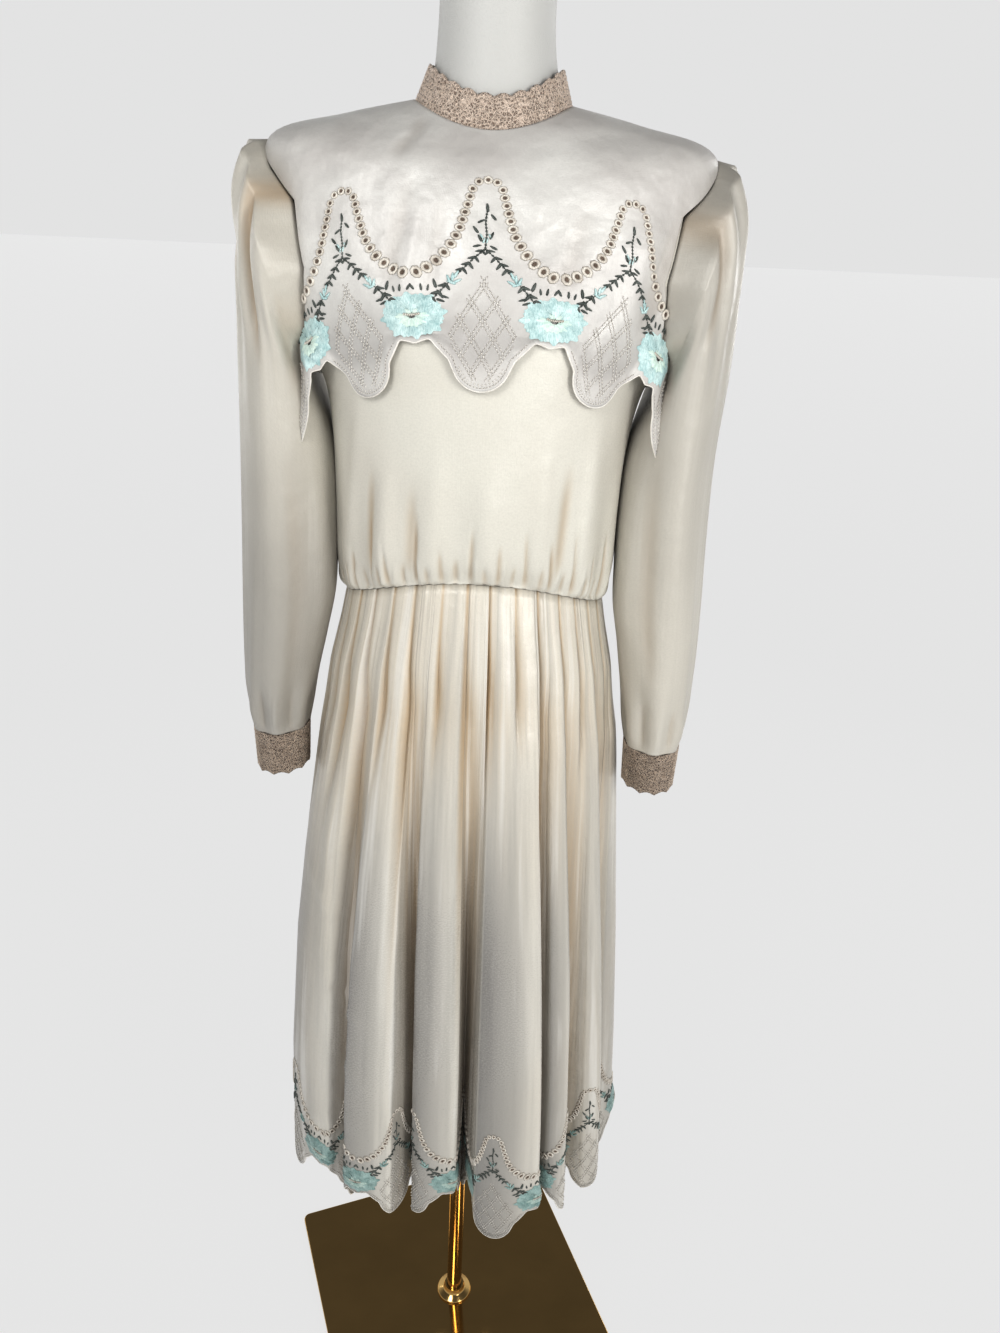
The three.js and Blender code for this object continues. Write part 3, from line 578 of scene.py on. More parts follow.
yoke = {
    "tip": 1257, "tipFall": 12, "hang": 80, "thick": 1.1, "lobeDegrees": 39,
    "rows": [6, 7, 8, 8.5, 9, 10, 11],
    "lift": 2.35, "edgeLift": 4,  # off the bodice, and how much more at the free edge
    "wave": 0.9, "swing": 0.55, "forward": 1.1,  # the side lobes swing outwards and forward
    # painted shade: the first darkens a band above the scalloped edge, the second the valleys of the folds
    "edgeShade": 0.38, "valleyShade": 0.22,
    "work": 184, "cord": 186,  # how far to each side the embroidery and the rolled edge run
    "folds": [
        (-160, 1300, -176, 1425, 9, 12, -4.2), (-140, 1290, -150, 1400, 10, 14, 2.2),
        (-78, 1330, -62, 1412, 7, 8, -1.5), (-66, 1318, -48, 1405, 6, 6, 1.3),
        (-42, 1330, -34, 1400, 5, 6, -1.2), (-60, 1440, -110, 1452, 6, 6, 1.6),
        (-52, 1452, -75, 1425, 5, 6, -2.0), (30, 1345, 40, 1420, 8, 8, 1.1),
        (62, 1330, 78, 1400, 8, 9, -1.3), (128, 1300, 160, 1395, 10, 10, -2.6),
        (112, 1300, 140, 1400, 10, 9, 1.8), (150, 1330, 178, 1420, 7, 8, 2.0),
        (-5, 1395, -8, 1438, 14, 14, 0.8),
    ],
}
yokeAngles = np.arange(-90, 90.5, 1.0)
yokeSpots = sectionPoint(torso, yokeAngles, np.full_like(yokeAngles, 5))
yokeArc = arcLength(yokeSpots)
yokeArc -= yokeArc[90]  # measured from the middle of the front
yokeRows = np.array(yoke["rows"], float)


def yokeTip(angle):
    return yoke["tip"] - yoke["tipFall"] * (np.abs(angle) / yoke["lobeDegrees"]) ** 2.25


def rowAtHeight(angle, z):
    low, high = np.zeros_like(angle), np.full_like(angle, 11)
    for _ in range(18):
        half = (low + high) / 2
        under = sectionPoint(torso, angle, half)[..., 2] < z
        low, high = np.where(under, half, low), np.where(under, high, half)
    return low


def yokeEdge(angle):
    repeats = np.interp(angle, yokeAngles, yokeArc) / border["repeat"]
    return rowAtHeight(angle, yokeTip(angle) + scallopUp(repeats))


def yokeFolds(plain):
    return creased(plain[..., 0], plain[..., 2], yoke["folds"])


def yokePoint(angle, t):
    # a point of the yoke's face by its angle and its row, lifted off the bodice most at the free edge
    edge = yokeEdge(angle)
    v = np.where(t < 6, 2 * (t - edge) / (6 - edge), 2 + np.interp(t, yokeRows, np.arange(len(yokeRows))))
    lift = yoke["lift"] + yoke["edgeLift"] * (1 - smooth(np.maximum(v, 0), 0, 3))
    plain = sectionPoint(torso, angle, t)
    ease = yokeFolds(plain) * smooth(1470 - plain[..., 2], 10, 50)
    wave = yoke["wave"] * sin(angle * 360 / yoke["lobeDegrees"] + 50) * (1 - smooth(v, 0, 1.6))
    lowest = -1.4 - 2 * (1 - smooth(v, 0, 3))  # keeps the folds off the bodice
    side = np.maximum(np.abs(angle) - 50, 0) * (1 - smooth(v, 0.2, 2.6))
    drift = np.stack([yoke["swing"] * np.sign(angle) * side, -yoke["forward"] * side, 0 * side], -1)
    return plain + drift + torsoNormal(angle, t) * (lift + np.maximum(ease + wave, lowest))[..., None]


def yokePlace(s, v):
    upper = np.interp(np.clip(v - 2, 0, len(yokeRows) - 1), np.arange(len(yokeRows)), yokeRows)
    hang = (yoke["hang"] - panelAngle(upper)) * (1 - np.clip(v / 2, 0, 1) ** 3)
    angle = s * (panelAngle(upper) + hang - 1.3)
    return angle, np.where(v < 2, lerp(yokeEdge(angle), 6, np.clip(v / 2, 0, 1)), upper)


# painted shade in the valleys of the yoke's folds
def yokeHollowShade(s, v):
    return -yoke["valleyShade"] * yokeFolds(sectionPoint(torso, *yokePlace(s, v)))


# painted shade in a band above the scalloped edge
def yokeShade(s, v):
    return yoke["edgeShade"] * smooth(v, 0.5, 1.3) * (1 - smooth(v, 1.7, 3.2))


yokeMesh = mappedGrid("yoke_front", 250, 72, lambda s, v: yokePoint(*yokePlace(s, v)), (-1, 1), (0, 8),
                      (0.46, 0.26), hollowShade=yokeHollowShade, shade=yokeShade)
yokeFront = finished("yoke_cloth", yokeMesh, "yokeSatin", ["yoke_front"], yoke["thick"])


def yokeChart():
    xs, ys = np.arange(-204, 205, 1.5), np.arange(-4, 172, 1.6)
    angle = np.interp(xs, yokeArc, yokeAngles)[:, None] + 0 * ys
    t = rowAtHeight(angle, yokeTip(angle) + ys)
    return Chart(xs, ys, yokePoint(angle, t))


print("yoke made")


# Skirt

skirt = {
    "drop": [0, 0.04, 0.1, 0.2, 0.36, 0.54, 0.76, 1],
    "left": [129.5, 135.5, 147, 160, 177, 192, 202, 205],
    "right": [123.5, 129, 139, 150, 158, 167, 176, 184],
    "front": [93.6, 100.5, 110.5, 123, 135, 144, 149, 151],
    "back": [88.4, 96, 106, 118, 130, 139, 145, 149],
    # flat stretches between the deep folds at the hem: from, to, reach at each end, depth of the valley
    # after it
    "from": [-82, -35, -15.5, 7, 32, 52, 75, 108, 138, 161, 191, 216, 247],
    "to": [-45.5, -23, -2, 25.5, 38.5, 60, 98, 127, 152, 181, 205, 236, 264],
    "out": [2, 20, -8, 12, 12, 10, 0, 6, 8, 2, 6, 4, 2],
    "outEnd": [5, -2, -14, 22, 12, 8, 2, 4, 0, 8, 2, 8, 0],
    "dip": [27, 52, 56, 50, 44, 34, 36, 46, 52, 50, 46, 42, 34],
    "pleats": [-79, -67, -57, -46, -35, -25, -13.5, -3, 6, 17, 27, 38, 48, 58, 69, 80],
    # how far down each pleat stays folded, as a share of the skirt
    "reach": [0.34, 0.22, 0.3, 0.62, 0.26, 0.58, 0.24, 0.6, 0.27, 0.2, 0.56, 0.6, 0.24, 0.62, 0.3, 0.2],
    "hemTip": 330, "lobeAngle": 12.2, "thick": 1.0,
    "lip": 7.5, "lipBefore": 7.0, "lipAfter": 3.2,  # the edge that hangs over each valley, and its widths
    "crown": (4, 8), "roll": (5, 10),  # roundness of a narrow and a wide stretch, and its roll to the back
    "pleat": (2, 13),  # depth of the pleats at the waist and below it
    # creases of the front panels by place across and height, from the photo
    "frontFolds": [
        (-150, 640, -96, 600, 7, 5, 2.4), (-140, 560, -90, 515, 6, 5, 2.0),
        (-170, 760, -120, 705, 8, 6, 2.0), (-176, 420, -120, 480, 8, 7, 1.6),
        (-118, 700, -112, 930, 5, 6, -2.6), (-146, 620, -138, 900, 6, 8, 2.0),
        (-96, 470, -92, 760, 6, 6, 1.8), (-30, 520, -22, 800, 5, 6, 2.2), (-38, 640, -34, 900, 4, 4, -1.8),
        (36, 470, 30, 820, 7, 8, 2.4), (58, 520, 50, 780, 5, 5, -1.8), (80, 600, 70, 850, 5, 6, 1.8),
        (12, 700, 8, 930, 5, 5, 1.6), (118, 560, 100, 880, 6, 7, 1.9), (142, 480, 122, 800, 6, 6, -1.8),
        (24, 400, 52, 440, 6, 5, 1.3), (-60, 430, -76, 520, 5, 6, 1.2),
    ],
    "backFolds": [
        (-140, 480, -104, 840, 8, 8, 2.4), (-96, 560, -84, 900, 6, 7, -2.2),
        (-48, 440, -40, 800, 8, 7, 2.2), (-10, 600, -6, 900, 6, 6, -1.8), (34, 460, 28, 820, 7, 8, 2.4),
        (76, 540, 66, 880, 6, 7, -2.2), (118, 470, 98, 840, 7, 7, 2.2), (-120, 620, -70, 570, 8, 6, 1.8),
        (60, 660, 104, 610, 8, 7, 1.8),
    ],
}
skirtPleats = np.array(skirt["pleats"] + [180 - a for a in reversed(skirt["pleats"])], float)
pleatReach = np.array(skirt["reach"] * 2)
foldFrom, foldTo, foldOut, foldOutEnd, foldDip = (
    np.array(skirt[key], float) for key in ("from", "to", "out", "outEnd", "dip"))
foldWide = smooth(foldTo - foldFrom, 4, 30)  # 0 for a narrow stretch, 1 for a wide one


def foldShare(angle):
    # the flat stretch that an angle is in or after, whether it is in it, the share of the way across it, and
    # the share of the way from its end to the next one
    turned = foldFrom[0] + np.mod(angle - foldFrom[0], 360)
    i = np.searchsorted(foldFrom, turned, side="right") - 1
    part = np.clip((turned - foldFrom[i]) / (foldTo[i] - foldFrom[i]), 0, 1)
    after = np.append(foldFrom[1:], foldFrom[0] + 360)[i]
    return i, turned <= foldTo[i], part, (turned - foldTo[i]) / (after - foldTo[i])


def hemFold(angle):
    i, isFlat, part, share = foldShare(angle)
    share = np.clip(share, 0, 1)
    valley = foldDip[i] * np.maximum(0, np.sin(np.pi * share)) ** 0.7
    between = lerp(foldOutEnd[i], np.roll(foldOut, -1)[i], smooth(share, 0, 1)) - valley
    return np.where(isFlat, lerp(foldOut[i], foldOutEnd[i], part), between)


def pleatFold(angle, drop):
    turned = skirtPleats[0] + np.mod(angle - skirtPleats[0], 360)
    i = np.searchsorted(skirtPleats, turned, side="right") - 1
    end = np.append(skirtPleats[1:], skirtPleats[0] + 360)[i]
    share = (turned - skirtPleats[i]) / (end - skirtPleats[i])
    open = 1 - smooth(drop, 0.12 * pleatReach[i] / 0.4, pleatReach[i] * 1.25)
    return -np.exp(-share * lerp(13, 3, smooth(drop, 0, 0.17))) * (1 - np.exp(-share * 60)) * 1.2 * open


def lip(angle):
    # how far the folded edge of each stretch hangs over the valley after it, in millimetres
    total = np.zeros_like(angle)
    for end in skirt["to"]:
        off = np.mod(angle - end + 180, 360) - 180
        total += skirt["lip"] * np.exp(-(off / np.where(off < 0, skirt["lipBefore"], skirt["lipAfter"])) ** 2)
    return total


def panelCrown(angle):
    # each flat stretch is rounded, and rolls back further on its left
    i, isFlat, part, share = foldShare(angle)
    roll = lerp(*skirt["roll"], foldWide)
    crown = lerp(*skirt["crown"], foldWide[i]) * np.sin(np.pi * part) - roll[i] * (1 - part) ** 3
    return np.where(isFlat, crown, -np.roll(roll, -1)[i] * smooth(share, 0.3, 1))


def skirtOval(angle, drop):
    # the skirt's outline without its folds
    s, c = sin(angle), cos(angle)
    left, right, front, back = (
        np.interp(drop, skirt["drop"], skirt[key]) for key in ("left", "right", "front", "back"))
    return np.stack([np.where(s < 0, left, right) * s, -np.where(c < 0, back, front) * c, 0 * s], -1)


def skirtPlan(angle, drop):
    grown = smooth(drop, 0.02, 1) ** 0.9
    pleatDeep = lerp(*skirt["pleat"], smooth(drop, 0.01, 0.17))
    out = (hemFold(angle) + panelCrown(angle)) * grown + pleatFold(angle, drop) * pleatDeep
    plan = skirtOval(angle, drop)
    way = unit(plan)
    side = np.stack([-way[..., 1], way[..., 0], 0 * way[..., 0]], -1)
    return plan + way * out[..., None] + side * (lip(angle) * smooth(drop, 0.12, 0.8))[..., None]


def hemPlan(angle):
    plan = skirtOval(angle, 1)
    return plan + unit(plan) * (hemFold(angle) + panelCrown(angle))[..., None]


hemAngles = np.arange(-90, 270.05, 0.1)
hemArc = arcLength(hemPlan(hemAngles))
hemLength = hemArc[-1]
hemLobes = round(hemLength / border["repeat"])
lobeStart = np.interp(skirt["lobeAngle"], hemAngles, hemArc) / hemLength
sideShare = np.interp(90, hemAngles, hemArc) / hemLength


def hemAngle(share):
    return np.interp(np.mod(share, 1) * hemLength, hemArc, hemAngles)


def skirtPoint(share, drop):
    angle = hemAngle(share)
    p = skirtPlan(angle, drop)
    scallop = scallopUp((share - lobeStart) * hemLobes) * smooth(drop, 0.86, 1)
    p[..., 2] = lerp(waistHeight(angle) - 0.3, skirt["hemTip"], drop) + scallop
    way = unit(p * np.array([1, 1, 0]))
    return p + way * (bodyFolds(skirt, p, np.abs(angle) <= 90) * smooth(drop, 0.02, 0.2))[..., None]


# painted shade in the valleys after the flat stretches and in the pleats
def skirtHollowShade(share, drop):
    angle = hemAngle(share)
    _, _, _, between = foldShare(angle)
    deep = np.where(between > 0, np.maximum(0, np.sin(np.pi * np.clip(between, 0, 1))) ** 0.8, 0)
    pleats = 1.5 * pleatFold(angle, drop) * (1 - 0.6 * smooth(drop, 0.06, 0.4))
    return 0.9 * deep * smooth(drop, 0.1, 0.5) - pleats


def skirtShade(share, drop):
    # each flat stretch turns from the light on its left
    angle = hemAngle(share)
    i, isFlat, part, _ = foldShare(angle)
    deep = np.where(isFlat, (1 - part) ** 1.05, 0.35) * (0.6 + 0.4 * foldWide[i])
    deep += 0.24 * (1 - smooth(part, 0.55, 0.85) * isFlat)
    sideways = np.where(np.abs(angle) <= 90, 1 - 0.6 * smooth(angle, 25, 60), 0.6)
    return deep * smooth(drop, 0.1, 0.55) * sideways


seam = 0.5 / hemLength  # half the gap at the side seams, as a share of the hem
for name, ends in (("skirt_front", (seam, sideShare - seam)), ("skirt_back", (sideShare + seam, 1 - seam))):
    mesh = mappedGrid(name, 310, 76, skirtPoint, ends, (0, 1), (hemLength / 2 * mm, 0.76),
                      hollowShade=skirtHollowShade, shade=skirtShade)
    finished(name + "_cloth", mesh, "skirtSatin", [name], skirt["thick"])


def hemChart():
    xs, ys = np.arange(-3, hemLength + 3, 1.5), np.arange(-4, 172, 1.8)
    share = xs / hemLength
    drops = np.linspace(0.66, 1.04, 160)
    rows = np.array([skirtPoint(share, np.full_like(share, d)) for d in drops])  # drop, share, axis
    points = np.empty((len(xs), len(ys), 3))
    for i in range(len(xs)):
        z = rows[::-1, i, 2]
        at = np.interp(skirt["hemTip"] + ys, z, drops[::-1])
        for axis in range(3):
            points[i, :, axis] = np.interp(at, drops, rows[:, i, axis])
    return Chart(xs, ys, points)


print("skirt made, hem", round(hemLength), "mm,", hemLobes, "lobes")


# Sleeves

sleeve = {
    "head": 3.2, "wrist": 2.6, "hanging": 1.8,  # height of the gathers and of the folds between them
    "perDegree": 0.8,  # millimetres of cloth to a degree round
    # the last: how strongly a millimetre of a valley takes the painted shade
    "thick": 0.9, "valleyShade": 0.13,
}
sleeveLeft = {
    "shadeHigh": 0.06, "shadeLow": 0.5,
    "inX": [155, 152, 142, 138, 137, 138, 140.5, 149, 159, 166, 169],
    "inZ": [1251, 1239, 1209, 1170, 1128, 1087, 1047, 1005, 960, 926, 904],
    "outX": [203, 213, 218, 222, 224, 226.5, 229, 230.5, 231, 229, 225],
    "outZ": [1438, 1408, 1342, 1268, 1188, 1112, 1050, 996, 951, 920, 902],
    "depth": [79, 74, 66, 59, 54, 51, 49, 46, 42, 38, 35],
    "forward": [0, 1, 3, 6, 9, 12, 14, 17, 19, 20, 21],
    # creases by place round, in millimetres from the outer side to the front, and height
    "folds": [
        (58, 1275, 40, 1440, 5, 4, -7.5), (78, 1270, 58, 1435, 6, 7, 4.2), (40, 1300, 22, 1425, 7, 5, 3.4),
        (24, 1345, 6, 1435, 5, 5, -3.6), (100, 1240, 92, 1380, 10, 10, -2.4),
        (66, 1010, 62, 1230, 12, 9, 2.2), (92, 960, 84, 1180, 8, 10, -2.0), (40, 930, 46, 1100, 10, 8, 1.8),
        (120, 1000, 112, 1180, 8, 8, 1.8), (200, 1000, 205, 1330, 10, 10, 2.4),
        (240, 960, 236, 1260, 9, 9, -2.6), (262, 1300, 250, 1425, 6, 6, -4.0),
        (52, 905, 54, 955, 4, 4, -1.8), (74, 905, 75, 945, 4, 4, 1.4), (30, 905, 34, 960, 4, 4, -1.4),
        (100, 905, 98, 950, 4, 4, -1.6), (220, 905, 222, 955, 5, 5, -1.8), (180, 905, 182, 960, 4, 4, 1.5),
    ],
}
sleeveRight = {
    "shadeHigh": 0.3, "shadeLow": 0.04,
    "inX": [155, 150, 138, 133, 131.5, 133, 135, 142.5, 149.5, 154.5, 157.5],
    "inZ": [1251, 1239, 1209, 1170, 1128, 1087, 1047, 1005, 958, 922, 899],
    "outX": [203, 214, 219, 219.5, 215.5, 216.5, 219, 220, 219, 217.5, 214],
    "outZ": [1434, 1400, 1338, 1268, 1188, 1112, 1050, 996, 950, 918, 898],
    "depth": sleeveLeft["depth"], "forward": sleeveLeft["forward"],
    "folds": [
        (62, 1300, 44, 1436, 6, 5, -5.0), (80, 1280, 66, 1420, 7, 8, 3.0), (36, 1310, 22, 1425, 8, 6, 3.2),
        (16, 1360, 6, 1432, 5, 5, -2.8), (104, 1230, 96, 1370, 10, 10, -2.0),
        (60, 1010, 66, 1230, 10, 12, 2.2), (88, 980, 92, 1190, 9, 9, -2.2), (36, 930, 40, 1110, 9, 10, 2.0),
        (118, 1020, 114, 1200, 8, 9, 1.6), (204, 1000, 200, 1320, 10, 10, 2.4),
        (238, 960, 242, 1260, 9, 9, -2.6), (260, 1300, 252, 1422, 6, 6, -4.0),
        (50, 902, 52, 950, 4, 4, -1.8), (72, 902, 72, 940, 4, 4, 1.4), (98, 902, 97, 952, 4, 4, -1.6),
        (222, 902, 220, 952, 5, 5, -1.8), (182, 902, 180, 958, 4, 4, 1.5),
    ],
}
bodiceRows = np.array([0.02, 1, 2, 3.5, 5, 5.5, 6, 7, 8, 8.5, 9, 10, 11])


def armholePoint(hand, atBack, row):
    i = np.clip(np.searchsorted(bodiceRows, row, side="right") - 1, 0, len(bodiceRows) - 2)

    def corner(r):
        angle = np.where(atBack, 180 - hand * panelAngle(r), hand * panelAngle(r))
        return sectionPoint(torso, angle, r)

    low, high = bodiceRows[i], bodiceRows[i + 1]
    rim = lerp(corner(low), corner(high), ((row - low) / (high - low))[..., None])
    return rim + unit(np.array([hand * 172, 0, 1345]) - rim)


def sleeveTurn(turn):
    return 2 * np.pi * (turn - 0.07 * np.sin(2 * np.pi * turn))


def sleeveFolds(table, psi, z):
    return creased(np.degrees(psi) * sleeve["perDegree"], z, table["folds"], 360 * sleeve["perDegree"])


def sleevePoint(table, hand, turn, v):
    psi = sleeveTurn(turn)
    rim = armholePoint(hand, np.sin(psi) < 0, lerp(5, 9, (1 + np.cos(psi)) / 2))
    t = np.maximum(v - 1, 0)
    middle = {k: (column(table, "in" + k, t) + column(table, "out" + k, t)) / 2 for k in "XZ"}
    half = {k: (column(table, "out" + k, t) - column(table, "in" + k, t)) / 2 for k in "XZ"}
    head = sleeve["head"] * np.maximum(0, np.cos(psi)) ** 0.5 * smooth(v, 0, 1) * (1 - smooth(v, 2, 5))
    wrist = sleeve["wrist"] * smooth(v, 8.2, 10) * (1 - 0.6 * smooth(v, 10, 11))
    hanging = sleeve["hanging"] * smooth(v, 2, 4) * (1 - smooth(v, 9, 10))
    z = middle["Z"] + half["Z"] * np.cos(psi)
    folds = sleeveFolds(table, psi, z) * smooth(v, 0, 0.9) * (1 - smooth(v, 10.3, 11))
    out = head * np.cos(14 * psi) + wrist * np.cos(7 * psi + 1) + hanging * np.cos(4 * psi + 0.6) + folds
    ring = np.stack([hand * (middle["X"] + (half["X"] + out) * np.cos(psi)),
                     -column(table, "forward", t) - (column(table, "depth", t) + out) * np.sin(psi), z], -1)
    return lerp(rim, ring, np.minimum(v, 1)[..., None])


# painted shade in the valleys of the sleeve's folds
def sleeveHollowShade(table, turn, v):
    psi = sleeveTurn(turn)
    t = np.maximum(v - 1, 0)
    z = (column(table, "inZ", t) * (1 - np.cos(psi)) + column(table, "outZ", t) * (1 + np.cos(psi))) / 2
    return -sleeve["valleyShade"] * sleeveFolds(table, psi, z)


sleeves = {}
for name, table, hand in (("sleeve_left", sleeveLeft, -1), ("sleeve_right", sleeveRight, 1)):
    mesh = mappedGrid(name, 120, 92, lambda u, v: sleevePoint(table, hand, u, v), (0, 1), (0, 11),
                      (0.33, 0.52), joined=True, hollowShade=lambda u, v: sleeveHollowShade(table, u, v),
                      shade=lambda u, v: lerp(table["shadeHigh"], table["shadeLow"], smooth(v, 2.5, 8.5)))
    sleeves[name] = finished(name + "_cloth", mesh, "shadedSleeveSatin", [name], sleeve["thick"])
print("sleeves made")


# Lace collar and cuffs

lace = {
    "collarScallops": 26, "cuffScallops": 11, "cuffHigh": 47, "thick": 1.0,
    "pitch": 3.3, "loop": 1.25,
}


def collarPoint(share, v):
    angle = lerp(-179.5, 179.5, share)
    foot = sectionPoint(torso, angle, np.full_like(angle, 11.0), -0.4)
    high = lerp(28, 26, (1 + cos(angle)) / 2) - 1.5 + 2.6 * np.abs(sin(angle * lace["collarScallops"] / 2))
    inward = lerp(1, 0.845, v)
    z = foot[..., 2] + 0.6 + v * high
    return np.stack([foot[..., 0] * inward + 1.5 * v, foot[..., 1] * inward, z], -1)


def cuffPoint(table, hand, turn, v):
    psi = 2 * np.pi * turn
    inX, outX, inZ, outZ = (table[k][-1] for k in ("inX", "outX", "inZ", "outZ"))
    taper = 1 - 0.06 * v
    scallop = 3 * np.abs(np.cos(lace["cuffScallops"] / 2 * psi))
    z = lerp(inZ, outZ, (1 + np.cos(psi)) / 2) - 0.5 - v * (lace["cuffHigh"] - scallop)
    deep = table["depth"][-1] * taper
    return np.stack([hand * ((outX + inX) / 2 + (outX - inX) / 2 * taper * np.cos(psi)),
                     -table["forward"][-1] - deep * np.sin(psi), z], -1)


def laceWork(name, finish, surface, long, high, topLoops):
    # knotted loops laid over the net, in uneven rows, with picots along the scalloped edge
    draw = np.random.default_rng(len(name))
    xs, ys = np.linspace(0, long, 260), np.linspace(0, high, 24)
    u, v = np.meshgrid(xs / long, ys / high, indexing="ij")
    chart = Chart(xs, ys, surface(u, v))
    if (chart.normals * (chart.points - chart.points.reshape(-1, 3).mean(0))).sum() < 0:
        chart.normals = -chart.normals
    bm = bmesh.new()
    rows, cols = int(high / lace["pitch"]), int(long / lace["pitch"])
    for j in range(rows):
        for i in range(cols):
            x = (i + 0.5 + 0.5 * (j % 2) + draw.uniform(-0.18, 0.18)) * long / cols
            y = (j + 0.5 + draw.uniform(-0.15, 0.15)) * high / rows
            size = lace["loop"] * draw.uniform(0.8, 1.2)
            stamp(bm, "loop", x % long, y, size, draw.uniform(0, 90), 0.15, draw.uniform(0.75, 1))
    for i in range(topLoops):
        stamp(bm, "loop", (i + 0.5) * long / topLoops, high - 0.4, 1.7, 0, -0.3)
    return finished(name, chart.lay(bm, name), finish)


collar = finished("collar_net", mappedGrid("collar", 312, 12, collarPoint, flat=(0.386, 0.028)),
                  "collarLace", ["collar"], lace["thick"])
collarLoops = laceWork("collar_loops", "collarLoops", collarPoint, 386, 28, 104)
cuffs, shadedCuffLoops = [], []
for name, table, hand in (("cuff_left", sleeveLeft, -1), ("cuff_right", sleeveRight, 1)):
    surface = lambda u, v: cuffPoint(table, hand, u, v)
    mesh = mappedGrid(name, 132, 14, surface, flat=(0.2, 0.047), joined=True)
    cuffs.append(finished(name + "_net", mesh, "shadedCuffLace", [name], lace["thick"]))
    shadedCuffLoops.append(laceWork(name + "_loops", "shadedCuffLoops", surface, 200, 47, 55))
print("lace made")


# Embroidery of one repeat, flat: across from the lobe's middle, up from its tip

motif = {
    "peak": 153,
    # half of the eyelet row, down from the peak: across, down, radius along the row, radius across it
    "eyelets": [(5.4, -1.4, 1.85, 1.9), (8.9, -6.4, 1.85, 2), (10.3, -11.8, 1.85, 2.1),
                (11.6, -17.2, 1.9, 2.1), (13, -22.5, 1.9, 2.2), (14.4, -27.8, 1.95, 2.3),
                (15.9, -33.3, 2, 2.4), (18, -39, 2.1, 2.5), (21, -45, 2.2, 2.7), (25, -51, 2.3, 2.9),
                (30, -56.6, 2.4, 3), (36, -61.4, 2.5, 3.1), (42.6, -64.6, 2.5, 3.2)],
    "leafLong": 3.1, "needleShade": 0.42,
    "flower": (47, 57), "flowerWide": 23, "flowerHigh": 18,
    # the strands that cross in a lobe: slope, step from one to the next; and the half width that they fill
    "strandSlope": 1.75, "strandStep": 15, "fillUp": [8, 14, 24, 34, 46, 60, 76, 86],
    "fillWide": [7, 13, 17, 23, 24, 17, 8, 2],
}


def mirrored(turn, side):
    return turn if side > 0 else 180 - turn


def sprigLeaves():
    # each leaf: x, y, turn, length; the sprig stands under the peak and two vines run down to the flowers
    leaves = [(0.4, 134, 98, 1.05), (-3, 124.5, 30, 0.85), (4.2, 127.5, 128, 0.9), (-6.2, 118.5, 125, 1.0),
              (-3.4, 112.5, 118, 0.95), (3.6, 114.5, 70, 0.95), (-5, 107, 15, 0.9), (5, 106, 150, 0.9)]
    for side in (-1, 1):
        for x, y, long in ((2, 104, 0.8), (6, 99, 0.95), (9.6, 94.5, 1.05), (13.2, 90.5, 1.0), (24, 79, 1.15),
                           (28.6, 73.5, 1.25), (33, 70, 1.0)):
            for turn, far in ((-13, 1.9), (-123, 1.7)):
                dx, dy = math.cos(math.radians(turn)), math.sin(math.radians(turn))
                leaves.append((side * (x + far * dx), y + far * dy, mirrored(turn, side), long))
        for x, y, turn, long in ((31, 80, 75, 1.2), (35.5, 77, 100, 0.8), (40, 77.5, 85, 0.9),
                                 (46, 78, 60, 0.9), (27.5, 67.5, -160, 1.0), (24.5, 70, 200, 0.9)):
            leaves.append((side * x, y, mirrored(turn, side), long))
    return leaves


def lobeOutline(inset):
    # the scalloped edge moved inwards, as points across one repeat
    xs = np.linspace(-border["repeat"] / 2, border["repeat"] / 2, 400)
    ys = scallopUp(xs / border["repeat"])
    slope = np.gradient(ys, xs)
    way = unit(np.stack([-slope, np.ones_like(slope)], -1))
    return np.stack([xs, ys], -1) + way * inset


def stitchesAlong(bm, points, every, size, middle=0.0, high=0.3, turn=0.0, holeShadeMarks=None):
    step = arcLength(points)

    def spot(at):
        return np.array([np.interp(at, step, points[:, axis]) for axis in (0, 1)])

    for at in np.arange(every / 2, step[-1], every):
        x, y = spot(at)
        dx, dy = spot(at + 0.4) - (x, y)
        stamp(bm, "stitch", x + middle, y, size, math.degrees(math.atan2(dy, dx)) + turn, high)
        if holeShadeMarks is not None:  # dark dots at the needle holes between the stitches: painted shade
            far = every / 2 / math.hypot(dx, dy)
            stamp(holeShadeMarks, "disc", x + middle + far * dx, y + far * dy, motif["needleShade"], 0, 0.14)


